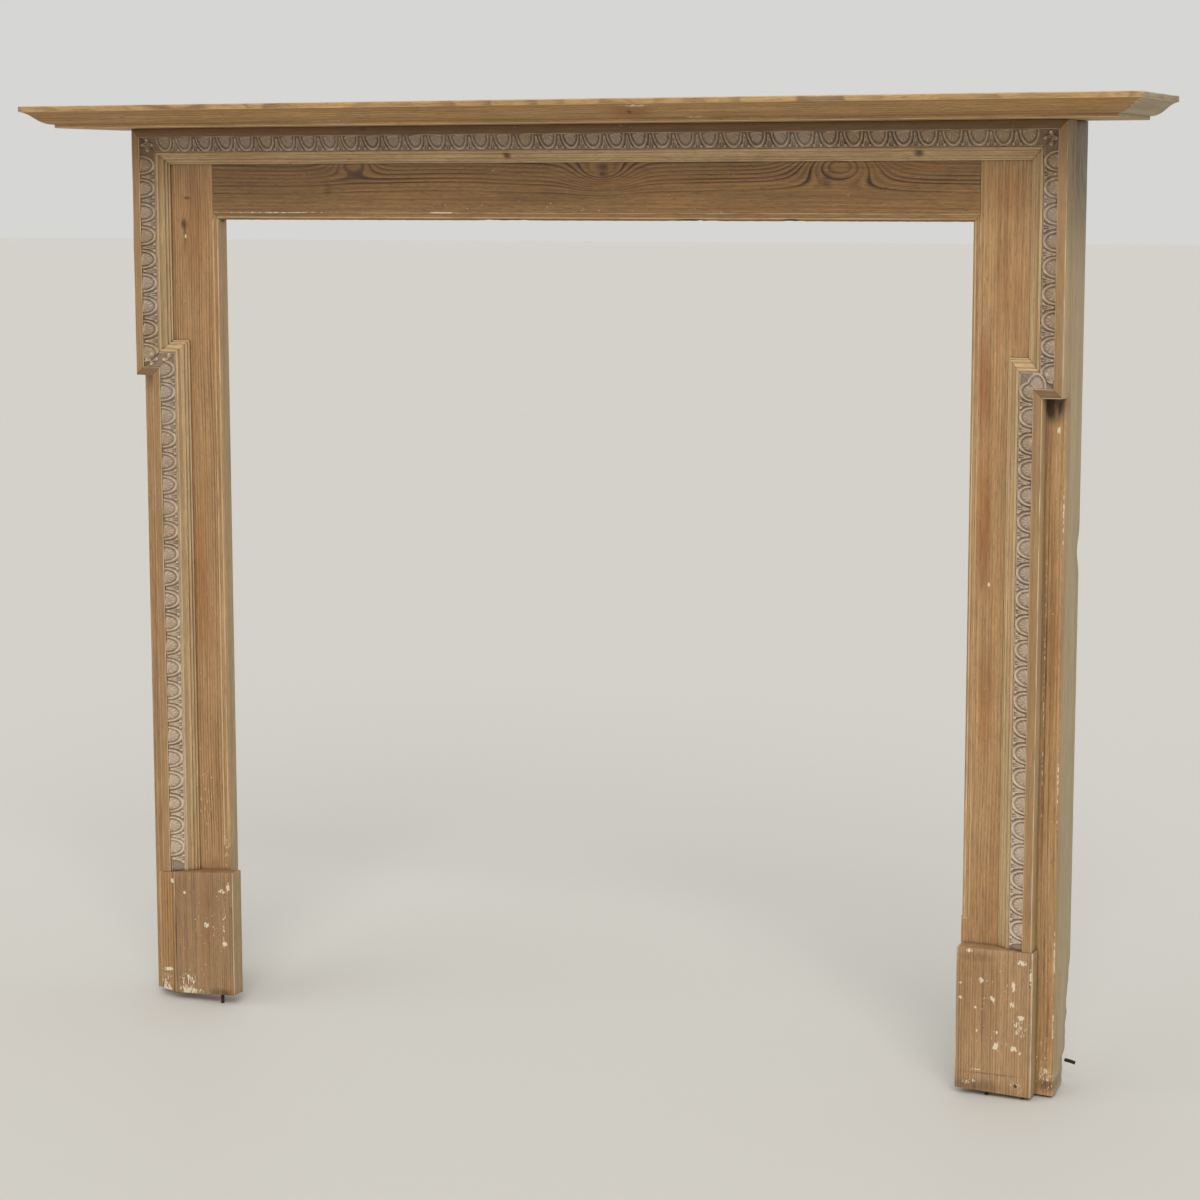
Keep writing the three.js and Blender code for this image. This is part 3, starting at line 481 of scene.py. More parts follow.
def dart_form(s, w, sizes):
    """Height of a dart between two eggs: two arms at |s| = DART_ARM + DART_SPLAY (w / length)^2, a spine
    between them, and a curl about the end of each arm, all bell curves."""
    t = np.clip(w / EGG_LENGTH, 0, 1)
    height = sizes.dart_height / MM
    arms = height * np.exp(-((np.abs(s) - DART_ARM - DART_SPLAY * t ** 2) / 0.95) ** 2) * smooth(w, 0.3, 2.5)
    spine = height * 0.8 * np.exp(-(s / 1.0) ** 2) * smooth(w, 6.0, 9.0) * (1 - smooth(w, 15.0, 17.5))
    curl = np.hypot(np.abs(s) - CURL_PLACE[0], w - CURL_PLACE[1])
    curls = height * 1.2 * np.exp(-((curl - CURL_RADIUS) / CURL_RADIUS) ** 2)
    ends = 1 - smooth(w, EGG_LENGTH - 1.2, EGG_LENGTH + 0.4)
    return np.maximum(np.maximum(arms * ends, spine), curls)


def leaf_form(s, w, sizes):
    """Height of a small leaf: four lobes inside the radius LEAF_RADIUS + LEAF_LOBE cos^2 2a, where a is the
    angle, each with a raised edge and a vein."""
    radius, angle = np.hypot(s, w), np.arctan2(w, s)
    share = radius / (LEAF_RADIUS + LEAF_LOBE * np.cos(2 * angle) ** 2)
    body = np.clip(1 - share ** 2, 0, 1) ** 0.5
    edge = np.exp(-((share - 0.82) / 0.13) ** 2)
    return sizes.dart_height / MM * (0.55 * body * (1 + 0.5 * np.cos(8 * angle)) + 0.85 * edge)


def carving(run, s, w, sizes, rng):
    """Height of the carving above its ground, s along the run and w across the strip, and how pale it is
    rubbed: the highest of the eggs, darts and leaves, a thin line beside the band and a flat edge on the
    inner side. The rims and darts are rubbed most, the eggs little, and the ground is dark, below 0."""
    pitch, first, eggs = run.get("pitch", EGG_PITCH), run["first"], run["eggs"]
    height, rubbed = np.zeros_like(s), np.zeros_like(s)
    rim_height, dart_height = sizes.rim_height / MM, sizes.dart_height / MM
    if eggs:
        cell = np.clip(np.floor((s - first) / pitch), 0, eggs - 1).astype(int)
        there = (s > first) & (s < first + eggs * pitch)
        shift = rng.uniform(-0.6, 0.6, eggs)
        size = rng.uniform(0.8, 1.08, eggs)
        turn = rng.uniform(-0.5, 0.5, eggs)
        rim, dome, flutes = egg_form(s - first - (cell + 0.5) * pitch - shift[cell], w, sizes, turn[cell])
        height = np.maximum(rim, dome) * size[cell] * there
        border = np.clip(np.round((s - first) / pitch), 1, eggs - 1 if run["leaves"] else eggs)
        off = s - first - border * pitch
        darts = dart_form(off, w, sizes) * (np.abs(off) < pitch / 2) * (eggs > 1)
        height = np.maximum(height, darts)
        egg = np.where(rim > dome, rim / rim_height, (0.35 + 0.35 * flutes) * (dome > 0.2))
        rubbed = np.maximum(egg * there, darts / dart_height)
    for place in run["leaves"]:
        leaf = leaf_form(s - place, w - STRIP / 2 + GAP, sizes)
        height, rubbed = np.maximum(height, leaf), np.maximum(rubbed, leaf / dart_height)
    line = 1.1 * np.exp(-((w - 0.55) / 0.45) ** 2)
    inner = 0.9 * smooth(w, STRIP - 2.9, STRIP - 2.1)
    height = np.maximum(np.maximum(height, line), inner)
    rubbed = np.maximum(rubbed, np.maximum(line * 0.8, inner * 0.5))
    return height, rubbed - 0.45 * np.exp(-(height / 0.5) ** 2)


def egg_strip(run, sizes, seed):
    """One strip of the enrichment, with a value that is high on its worn tops. The top is a grid over the
    strip: its depth is the ground's, sloped by GROUND_DEPTHS, less the carving's height and a fine noise."""
    rng = np.random.default_rng(seed)
    shares = spread(0, 1, CARVING_STEP / run_length(run))
    w_top = spread(STRIP_START, STRIP_END, CARVING_STEP * 0.9)
    top = np.stack([w_top, np.zeros_like(w_top)], axis=-1)
    seat = np.interp([STRIP_END, STRIP_START], [BAND, BAND + STRIP], SEAT_DEPTHS) - GAP * 1.06
    section = np.concatenate([top, np.stack([[STRIP_END, STRIP_START], seat], axis=-1)])
    section = np.broadcast_to(section, (len(shares), *section.shape)).copy()
    _, s = along_run(run, section, shares)
    count = len(w_top)
    s_top, w = s[:, :count], w_top - STRIP_START
    height, rubbed = carving(run, s_top, np.broadcast_to(w, s_top.shape), sizes, rng)
    points = np.stack([s_top, np.broadcast_to(w, s_top.shape), np.full_like(s_top, seed * 7.0)], axis=-1)
    grain = 0.2 * wander(points, 3.6, seed) + 0.12 * wander(points, 1.9, seed + 50)
    wear = 1 - 0.15 * (1 + wander(points, 60.0, seed + 9))
    ground = np.interp(w_top, [STRIP_START, STRIP_END], GROUND_DEPTHS)
    section[:, :count, 1] = ground - height * wear - np.clip(grain, -0.35, 0.35)
    rings, _ = along_run(run, section, shares)
    value = np.zeros(rings.shape[:2])
    value[:, :count] = rubbed
    return rings, value


def arris_columns(width):
    """Distances from the opening's edge across a board to its far edge, close together over the moulding."""
    round_part = ARRIS_ROUND * (1 - np.cos(np.linspace(0, math.pi / 2, 6)))
    flat = [4.4, 5.2, 6.8, *(ARRIS + off for off in (-0.7, -0.4, -0.15, 0.2, 0.6, 1.3))]
    return np.concatenate([round_part, flat, spread(ARRIS + 14, width - 1.2, 18.0), [width - 0.35, width]])


def arris_profile(e, width):
    """Depth of a board's front behind its face: at the opening's edge a quarter ellipse down to ARRIS_DEPTH,
    then a flat sunk by ARRIS_SINK up to a small step, then the face, eased at the far edge."""
    t = np.clip(1 - e / ARRIS_ROUND, 0, 1)
    rounded = ARRIS_SINK + (ARRIS_DEPTH - ARRIS_SINK) * (1 - np.sqrt(1 - t ** 2))
    step = 1 - smooth(e, ARRIS - 0.5, ARRIS + 0.35)
    far = 0.9 * np.clip(1 - (width - e) / 1.2, 0, 1) ** 2
    return rounded * step, far


def arris_wear(e):
    """How pale the arris moulding is rubbed: a bell curve at its step and another at the end of its round."""
    return np.exp(-((e - ARRIS - 0.2) / 0.45) ** 2) + 0.8 * np.exp(-((e - ARRIS_ROUND) / 0.7) ** 2)


def worn_edge(points, places, seed):
    """How far an edge is worn back: a fine ragged noise, deeper within the given stretches along x."""
    x = points[..., 0]
    inside = sum(smooth(x, a - 6, a + 6) * (1 - smooth(x, b - 6, b + 6)) for a, b in places)
    torn = inside * (0.7 + 0.7 * wander(points, 5.0, seed + 1))
    return np.clip(0.25 + 0.3 * wander(points, 9.0, seed) + torn, 0, 2)


def header_rings():
    """The header: its profile, with the arris moulding at the lower edge, carried from joint to joint. The
    ends follow the mitre over the moulding's width: x = half opening + min(e, moulding width)."""
    width = TOP - HEAD
    e = arris_columns(width)
    rounded, far = arris_profile(e, width)
    reach = OPENING_HALF - MITRE_BACK + np.minimum(e, ARRIS) + np.where(e < ARRIS, 0, MITRE_BACK - GAP / 2)
    shares = np.concatenate([[-1], spread(-0.985, 0.985, 5.0 / OPENING_HALF), [1]])
    grid = np.broadcast_arrays(shares[:, None] * reach, FRAME_FACE + rounded + far, HEAD + e)
    front = np.stack(grid, axis=-1)
    lost = worn_edge(front, RAGGED, 5) * np.clip(1 - e / 2.5, 0, 1)
    front[..., 2] += lost * 0.7
    front[..., 1] += lost * 0.5
    back = front[:, [-1, int(np.argmax(e > ARRIS)), 0]].copy()
    back[..., 1] = FRAME_BACK
    return np.concatenate([front, back], axis=1), np.append(arris_wear(e), [0, 0, 0])


def stile_rings(side):
    """A stile: e runs from the opening's edge outwards, and each level's inner edge follows the mitre and
    then the joint beside the header. The arris moulding fades out round a half circle above the plinth."""
    width = EAR_HALF - OPENING_HALF
    stop = float(plinth_top(side, side * OPENING_HALF)) + STOP_ABOVE_PLINTH
    mitre = spread(0, ARRIS, 1.5)
    z_low = float(np.max(sole(side, side * np.array([OPENING_HALF, EAR_HALF]))))
    levels = np.concatenate([
        [z_low], spread(z_low + 21, stop - 4, 20.0), spread(stop - 2, stop + 12, 0.7),
        spread(stop + 24, HEAD - 12, 12.0), HEAD - MITRE_BACK + mitre, spread(HEAD + ARRIS + 3, TOP, 16.0),
    ])
    inner = np.clip(levels - HEAD + MITRE_BACK, 0, ARRIS)
    inner = np.where(inner >= ARRIS, ARRIS + GAP / 2, inner)
    e = np.maximum(arris_columns(width)[None], inner[:, None])
    rounded, far = arris_profile(e, width)
    round_end = stop + STOP_RADIUS - np.sqrt(np.clip(STOP_RADIUS ** 2 - (e - ARRIS / 2) ** 2, 0, None))
    running = np.clip((levels[:, None] - round_end) / 0.9, 0, 1)
    x = side * (OPENING_HALF + e)
    z = np.broadcast_to(levels[:, None], e.shape).copy()
    z[0] = sole(side, x[0])
    front = np.stack([x, FRAME_FACE + rounded * running + far, z], axis=-1)
    lost = np.clip(0.3 + 0.35 * wander(front, 14.0, 30 + side), 0, 1)
    lost *= np.clip(1 - (e - inner[:, None]) / 2.0, 0, 1)
    below = (levels < HEAD)[:, None]
    front[..., 1] += lost * 0.6 * below
    back = front[:, [-1, 0]].copy()
    back[..., 1] = FRAME_BACK
    worn = arris_wear(e) * np.where(below, running, 0)
    return np.concatenate([front, back], axis=1), np.concatenate([worn, np.zeros((len(levels), 2))], axis=1)


def return_rings(side):
    """A return board from the frame back to the wall. On the right its outer back arris is broken away in a
    ragged wedge up to BREAK_HEIGHT above the foot, and a short split is open in it higher up."""
    name = "right_return" if side > 0 else "left_return"
    box_low, box_high = corners_of(name)
    rings, worn = plank(box_low, box_high, 2, 0.8, 40 + side, 8.0)
    if side > 0:
        z = rings[..., 2]
        foot = low("left_return", 2)
        break_share = np.clip(1 - (z - foot) / BREAK_HEIGHT, 0, 1)
        ragged = 1 + 0.35 * wander(rings * [0.2, 0.2, 1], 22.0, 8)
        split = np.exp(-((z - foot - SPLIT_HEIGHT) / SPLIT_LENGTH) ** 2)
        reach_in = BREAK_IN * break_share ** 0.5 * ragged + SPLIT_IN * split
        reach_front = BREAK_FORWARD * break_share ** 0.5 * ragged + SPLIT_FORWARD * split
        outward = (rings[..., 0] - (EAR_HALF - reach_in)) / np.maximum(reach_in, 0.01)
        backward = (rings[..., 1] + reach_front) / np.maximum(reach_front, 0.01)
        over = np.clip(np.clip(outward, 0, 1) + np.clip(backward, 0, 1) - 1, 0, 1)
        over *= (outward > 0) * (backward > 0)
        rings[..., 0] -= over * reach_in * 0.5
        rings[..., 1] -= over * reach_front * 0.5
    return rings, worn


def plinth_rings(name, side, ease, seed):
    """A plinth piece: an eased board, its levels stretched to lie between the sloping sole and the sloping
    top, with dents in the front of its sole."""
    box_low, box_high = corners_of(name)
    rings, worn = plank(box_low, box_high, 2, ease, seed, 10.0)
    share = (rings[..., 2] - box_low[2]) / (box_high[2] - box_low[2])
    bottom, top = sole(side, rings[..., 0]), plinth_top(side, rings[..., 0])
    rings[..., 2] = bottom + share * (top - bottom)
    near = np.clip((rings[..., 1] - box_low[1]) / 8.0, 0, 1)
    dents = np.clip(wander(rings, 18.0, seed + 3) - 0.45, 0, 1) * np.clip(1 - share * 6, 0, 1)
    rings[..., 2] += dents * 4.0 * (1 - near)
    return rings, worn


def shelf_section(ease):
    """Shelf moulding in width inwards and height above the shelf's underside: a fillet over a cyma recta,
    whose curve is a cubic."""
    inner = SHELF_MOULDING - GAP
    thick = SHELF_TOP - UNDERSIDE
    fillet_low = thick - SHELF_FILLET
    drop = fillet_low - SHELF_LOWER_FILLET
    curve = bezier([
        (0, fillet_low), (inner * 0.42, fillet_low - drop * 0.12),
        (inner * 0.48, SHELF_LOWER_FILLET + drop * 0.04), (inner, SHELF_LOWER_FILLET),
    ], 18)
    corners = [(0, thick), *curve, (inner, thick)]
    return corners, [ease, 0.6, *[0] * (len(curve) - 1), 0]


def knock_corner(points):
    """Pushes what lies in the lost corner of the shelf back to the break: with f = (X - x) / a + (y - Y) / a
    + (Z - z) / b from the old corner, a point with f under 1 moves along f's gradient until f is 1."""
    corner = np.array([CAD_BOX[1][0] / MM, CAD_BOX[0][1] / MM, SHELF_TOP]) + CHIP_CLEAR * np.array([1, -1, 1])
    gradient = np.array([-1 / CHIP_WIDTH, 1 / CHIP_WIDTH, -1 / CHIP_DEPTH])
    short = np.clip(1 - (points - corner) @ gradient, 0, None)
    rough = 1 + 0.12 * wander(points, 4.0, 77)
    return points + (short * rough)[..., None] * gradient / (gradient @ gradient)


def shelf_run(side):
    """Runs of the shelf moulding: the front for side 0, and the returns to the wall for sides -1 and 1."""
    half, front = CAD_BOX[1][0] / MM, CAD_BOX[0][1] / MM
    start = np.array([(side or -1) * half, front, UNDERSIDE])
    if side == 0:
        return {"from": start, "to": start * [-1, 1, 1], "inward": Y, "across": Z, "mitre_from": 1,
                "mitre_to": 1}
    return {"from": start, "to": start * [1, 0, 1], "inward": -side * X, "across": Z, "mitre_from": 1,
            "mitre_to": 0, "to_cut": 0}


def shelf_length(side, ease, seed):
    """One length of the shelf moulding, its arrises worn by a slow noise, with the right corner knocked off.
    It has fine steps within MITRE_REACH of its ends."""
    run = shelf_run(side)
    length = run_length(run)
    ends = spread(0, MITRE_REACH / length, 1.6 / length)
    middle = spread(PLAIN_FROM / length, 1 - PLAIN_FROM / length, 10 / length)
    shares = np.concatenate([ends, middle, 1 - ends[::-1]])
    points, worn = worn_length(run, *shelf_section(ease), shares, 0.5, 38.0, seed)
    return knock_corner(points), worn


# Finishes


def node(tree, kind, feeds=(), operation=None, **settings):
    """Adds a shader node, gives it its operation and its other settings, and feeds its inputs with links or
    values: a list in the order of the inputs, or a dictionary by name or number."""
    made = tree.nodes.new(f"ShaderNode{kind}")
    if operation:
        settings["operation"] = operation
    for key, value in settings.items():
        setattr(made, key, value)
    for key, value in feeds.items() if isinstance(feeds, dict) else enumerate(feeds):
        socket = made.inputs[key] if isinstance(key, int) else next(
            i for i in made.inputs if i.name == key and i.enabled)
        if isinstance(value, bpy.types.Node):
            value = next(output for output in value.outputs if output.enabled)
        if isinstance(value, bpy.types.NodeSocket):
            tree.links.new(value, socket)
        else:
            socket.default_value = value
    return made


def new_material(name):
    """An empty node material, a short way to add nodes to it, and the place on the piece in millimetres."""
    material = bpy.data.materials.new(name)
    material.use_nodes = True
    material.node_tree.nodes.clear()
    add = functools.partial(node, material.node_tree)
    place = add("TexCoord").outputs["Object"]
    return material, add, add("VectorMath", {0: place, "Scale": 1 / MM}, "SCALE")


def pine(name, look):
    """Stripped and waxed pine. Growth rings are circles about the heart of the tree: the distance from it in
    the board's section, bent by noise and lifted round each knot, over the ring spacing. Earlywood is pale
    and latewood brown, which gives straight lines beside the heart and flames where a ring grazes the face.
    Stripping leaves the fibres open, rubs the arrises pale, and leaves dirt in the quirks and specks of
    paint."""
    material, add, mm = new_material(name)
    split = add("SeparateXYZ", [mm])
    along, across, deep = (split.outputs[axis] for axis in look["axes"])
    seed = look["seed"]
    grain = {}
    for offset, (noise, (length, width, detail)) in enumerate(GRAIN.items(), 1):
        u = add("Math", [along, 1 / length, seed + offset], "MULTIPLY_ADD")
        v = add("Math", [across, 1 / width, seed - offset], "MULTIPLY_ADD")
        w = add("Math", [deep, 1 / width], "MULTIPLY")
        vector = add("CombineXYZ", [u, v, w])
        grain[noise] = add("TexNoise", {"Vector": vector, "Scale": 1.0, "Detail": detail})

    def away(mark_along, mark_across, reach_along, reach_across):
        """Distance from a mark, as a share of its reach along and across the grain."""
        u = add("Math", [along, mark_along], "SUBTRACT")
        v = add("Math", [across, mark_across], "SUBTRACT")
        u = add("Math", [u, reach_along], "DIVIDE")
        v = add("Math", [v, reach_across], "DIVIDE")
        both = add("CombineXYZ", [u, v])
        return add("VectorMath", [both], "LENGTH").outputs["Value"]

    def marks(places):
        """Sum of soft spots, each falling from its amount in its middle to nothing at its reach."""
        total = 0.0
        for *where, amount in places:
            near = add("MapRange", [away(*where), 1.0, 0.2, 0.0, amount], interpolation_type="SMOOTHSTEP")
            total = add("Math", [near, total], "ADD")
        return total

    def layered(base, layers):
        """Colours laid over a base one after the other, each by its amount."""
        for amount, laid in layers:
            base = add("Mix", {"Factor": amount, "A": base, "B": laid}, data_type="RGBA")
        return base

    # Growth rings: each darkens towards its end and stops sharply, and the lines come and go
    bend = add("Math", [grain["bend"], look["bend"] * 2, -look["pith"] - look["bend"]], "MULTIPLY_ADD")
    from_pith = add("Math", [across, bend], "ADD")
    rise = add("Math", [grain["rise"], look["rise"], look["heart"]], "MULTIPLY_ADD")
    from_heart = add("Math", [deep, rise], "ADD")
    section = add("CombineXYZ", [from_pith, from_heart])
    distance = add("VectorMath", [section], "LENGTH").outputs["Value"]
    for knot_along, knot_across, reach, lift, _ in look["knots"]:
        near = away(knot_along, knot_across, reach * SWERVE_STRETCH, reach)
        near = add("Math", [near, near], "MULTIPLY")
        near = add("Math", [near, -1.0], "MULTIPLY")
        near = add("Math", [near], "EXPONENT")
        distance = add("Math", [near, lift, distance], "MULTIPLY_ADD")
    rings = add("Math", [distance, 1 / look["spacing"]], "MULTIPLY")
    share = add("Math", [rings], "FRACT")
    late = add("MapRange", [share, 0.25, 0.9], interpolation_type="SMOOTHSTEP")
    drop = add("MapRange", [share, 1.0, 0.92])
    uneven = add("TexNoise", {"W": rings, "Scale": 0.9, "Detail": 0.0}, noise_dimensions="1D")
    uneven = add("MapRange", [uneven, 0.35, 0.65, 0.3, 1.0])
    faded = add("MapRange", [grain["faded"], 0.33, 0.62, 0.35, 1.0])
    zone_start, zone_end, zone_least = look["zone"]
    zone = add("MapRange", [across, zone_start, zone_end, zone_least, 1.0])
    for factor in (drop, uneven, faded, zone, look["contrast"]):
        late = add("Math", [late, factor], "MULTIPLY")

    # Wood: rings, heartwood, resin ducts, and raw colour on the sides and the back
    blush = add("MapRange", [grain["blush"], 0.45, 0.68, 0.0, look["blush"]])
    ducts = add("MapRange", [grain["ducts"], 0.64, 0.73, 0.0, 0.45])
    facing = add("SeparateXYZ", [add("NewGeometry").outputs["True Normal"]])
    aside = add("Math", [facing.outputs["X"]], "ABSOLUTE")
    behind = add("MapRange", [facing.outputs["Y"], 0.5, 0.8, 0.0, 0.5])
    finished = add("Math", [behind, -2.0, 1.0], "MULTIPLY_ADD")
    aside = add("MapRange", [aside, 0.6, 0.85, 0.0, look["weathered"]])
    # What stands out in front of a depth is darker: a darker tone of the band on the legs, and painted shade
    # of the shelf on the top band.
    proud_start, proud_end, proud_amount = look["proud"]
    proud = add("MapRange", [deep, proud_start, proud_end, 0.0, proud_amount])
    wood = layered(look["light"], [
        (late, look["dark"]), (blush, look["red"]), (marks(look["reds"]), look["red"]),
        (ducts, look["dark"]), (proud, look["dark"]), (aside, look["side"]), (behind, look["side"])])
    tone = 1.0
    for noise, darkest, palest in (("fibre", 0.78, 1.14), ("streaks", 0.8, 1.1), ("clouds", 0.92, 1.05)):
        step = add("MapRange", [grain[noise], 0.32, 0.68, darkest, palest])
        tone = add("Math", [step, tone], "MULTIPLY")
    tone = add("CombineXYZ", [tone, tone, tone])
    wood = add("VectorMath", [wood, tone], "MULTIPLY")

    # What lies on the wood: knots' hearts, rubbed arrises, grime with painted shade in the crevices,
    # darkening marks that are real stains or painted shade and shadow, and flecks of paint
    hearts = []
    for knot_along, knot_across, _, _, core in look["knots"]:
        near = away(knot_along, knot_across, core * HEART_STRETCH, core)
        ragged = add("Math", [grain["fibre"], 0.8, near], "MULTIPLY_ADD")
        hearts.append((add("MapRange", [ragged, 1.7, 0.8, 0.0, 0.85]), look["knot"]))
    worn = add("Attribute", attribute_name="worn").outputs["Fac"]
    patches = add("MapRange", [grain["patches"], 0.3, 0.55, 0.25, look["rubbed_amount"]])
    rubbed = add("Math", [worn, patches], "MULTIPLY")
    rubbed = add("Math", [rubbed, finished], "MULTIPLY")
    # Ambient occlusion darkens the crevices and joints: dirt, and painted shade where they are shaded.
    crevice = add("AmbientOcclusion", {"Distance": PINE_GRIME_AND_SHADE * MM}, samples=5).outputs["AO"]
    crevice_dirt_and_shade = add("MapRange", [crevice, 0.8, 0.2, 0.0, look["grime_and_shade_amount"]])
    blots = add("MapRange", [grain["blots"], 0.3, 0.6, 0.4, 1.0])
    # Darkening marks: real stains, and on some pieces painted shade of the shelf and painted shadow.
    stain_and_shade = add("Math", [marks(look["stains"]), blots], "MULTIPLY")
    stain_and_shade = add("Math", [stain_and_shade, finished], "MULTIPLY", use_clamp=True)
    flecks = add("Math", [grain["flecks"], marks(look["paint"])], "ADD")
    flecks = add("MapRange", [flecks, 0.72, 0.8, 0.0, 0.85])
    flecks = add("Math", [flecks, finished], "MULTIPLY")
    surface = layered(wood, [*hearts, (rubbed, look["rubbed"]), (crevice_dirt_and_shade, look["grime_and_shade"]),
                             (stain_and_shade, look["grime_and_shade"]), (flecks, look["paint_colour"])])

    height = add("Math", [late, 0.6, grain["fibre"]], "MULTIPLY_ADD")
    bump = add("Bump", {"Height": height, "Strength": 0.35, "Distance": 0.3 * MM})
    rough = add("MapRange", [grain["fibre"], 0.3, 0.7, look["roughness"] - 0.06, look["roughness"] + 0.08])
    shader = add("BsdfPrincipled", {"Base Color": surface, "Roughness": rough, "Normal": bump, "IOR": 1.5})
    add("OutputMaterial", {"Surface": shader})
    return material


def composition(name, colours):
    """Pressed composition of whiting and glue under the remains of old paint: grey-mauve to brown, dark in
    its hollows with dirt and painted shade, pale on its rubbed rims and paler towards the foot, dull and
    finely pitted."""
    material, add, mm = new_material(name)
    height = add("SeparateXYZ", [mm]).outputs["Z"]
    worn = add("Attribute", attribute_name="worn").outputs["Fac"]
    broad, mottle, pits = [
        add("TexNoise", {"Vector": mm, "Scale": 1 / reach, "Detail": detail})
        for reach, detail in PASTE_NOISES]
    # Ambient occlusion darkens the ground and crevices of the carving: dirt, and painted shade where they are
    # shaded.
    crevice = add("AmbientOcclusion", {"Distance": PASTE_GRIME_AND_SHADE * MM}, samples=5).outputs["AO"]
    brown = add("MapRange", [broad, 0.35, 0.65])
    # Paler downwards, from a height of -150 mm to -1000 mm.
    paler_downwards = add("MapRange", [height, -150.0, -1000.0, 0.0, 0.3])
    ground = add("MapRange", [worn, 0.05, -0.4, 0.0, 0.4])
    hollow_dirt_and_shade = add("MapRange", [crevice, 0.9, 0.4, 0.0, 0.8])
    hollow_dirt_and_shade = add("Math", [hollow_dirt_and_shade, ground], "ADD", use_clamp=True)
    rubbed = add("Math", [mottle, 1.3, worn], "MULTIPLY_ADD")
    rubbed = add("Math", [rubbed, paler_downwards], "ADD")
    rubbed = add("MapRange", [rubbed, 1.1, 2.0, 0.0, 0.85])
    speckle = add("MapRange", [pits, 0.35, 0.2, 0.0, 0.5])
    surface = colours.paste
    for amount, laid in ((brown, colours.paste_brown), (paler_downwards, colours.paste_pale),
                         (hollow_dirt_and_shade, colours.paste_hollow), (rubbed, colours.paste_pale),
                         (speckle, colours.paste_hollow)):
        surface = add("Mix", {"Factor": amount, "A": surface, "B": laid}, data_type="RGBA")
    bump = add("Bump", {"Height": pits, "Strength": 0.3, "Distance": 0.2 * MM})
    shader = add("BsdfPrincipled", {"Base Color": surface, "Roughness": 0.75, "Normal": bump, "IOR": 1.5})
    add("OutputMaterial", {"Surface": shader})
    return material


def rusty_iron(name, colours):
    """Cut iron nails, rusted through: dull brown scale with orange bloom."""
    material, add, mm = new_material(name)
    scale = add("TexNoise", {"Vector": mm, "Scale": 1 / RUST_FLAKE, "Detail": 5.0})
    bloom = add("MapRange", [scale, 0.42, 0.62])
    surface = add("Mix", {"Factor": bloom, "A": colours.rust_dark, "B": colours.rust}, data_type="RGBA")
    bump = add("Bump", {"Height": scale, "Strength": 0.7, "Distance": 0.4 * MM})
    shader = add("BsdfPrincipled", {
        "Base Color": surface, "Roughness": 0.85, "Metallic": 0.3, "Normal": bump})
    add("OutputMaterial", {"Surface": shader})
    return material


def wood_look(colours, wood, axes, seed, **changes):
    """What every pine board starts from, with its own changes, in millimetres. The rings are spacing apart
    and bent by up to bend. Their heart lies at pith across the grain and at heart behind the face, and moves
    by up to rise along it. A knot is its place along and across the grain, the reach of the rings that swerve
    round it, how far they swerve, and the radius of its heart. A mark is its place, its reach along and
    across the grain, and its amount; some of the darkening marks paint shade and shadow. Lines keep only a
    share of their strength on one side of the zone, and what stands out in front of a depth is darker: a
    darker band on the legs, and painted shade of the shelf on the top band."""
    look = {
        "axes": axes, "seed": seed, "light": getattr(colours, f"{wood}_light"),
        "dark": getattr(colours, f"{wood}_dark"), "red": colours.red, "knot": colours.knot,
        "rubbed": colours.rubbed, "grime_and_shade": colours.grime_and_shade, "paint_colour": colours.paint,
        "side": colours.side_light, "spacing": 3.0, "bend": 5.0, "pith": 0.0, "heart": 120.0, "rise": 40.0,
        "contrast": 0.9, "zone": (-9000.0, -8000.0, 1.0), "proud": (-9000.0, -9001.0, 0.0),
        "weathered": 0.7, "blush": 0.3, "rubbed_amount": 0.85, "grime_and_shade_amount": 0.8, "roughness": 0.55,
        "knots": (), "reds": (), "stains": (), "paint": (),
    }
    look.update(changes)
    return look


# Axes of the grain: along it, across it on the face, and into the board
ALONG_X = (0, 2, 1)
ALONG_X_FLAT = (0, 1, 2)
ALONG_Z = (2, 0, 1)
ALONG_Z_SIDE = (2, 1, 0)
ALONG_Y = (1, 2, 0)


def measure(name, description, millimetres, **limits):
    """A length property whose default is given in millimetres."""
    return FloatProperty(
        name=name, description=description, default=millimetres * MM, unit="LENGTH", **limits)


class MantelSizes(bpy.types.PropertyGroup):
    """Sizes that a user would change."""

    arris_ease: measure("Arris wear", "Rounding of the worn arrises", 1.1, min=0.2 * MM, max=2.0 * MM)
    rim_height: measure("Egg rim", "Height of the rim round each egg", 2.9)
    dome_height: measure("Egg", "Height of each egg above its ground", 3.0)
    flute_depth: measure("Flutes", "Depth of the flutes on each egg", 0.45)
    dart_height: measure("Dart", "Height of the darts between the eggs", 2.3)


def colour(name, description, code):
    """A colour property whose default is given as an sRGB hex value."""
    return FloatVectorProperty(name=name, description=description, default=linear(code), size=4, min=0.0,
                               max=1.0, subtype="COLOR")


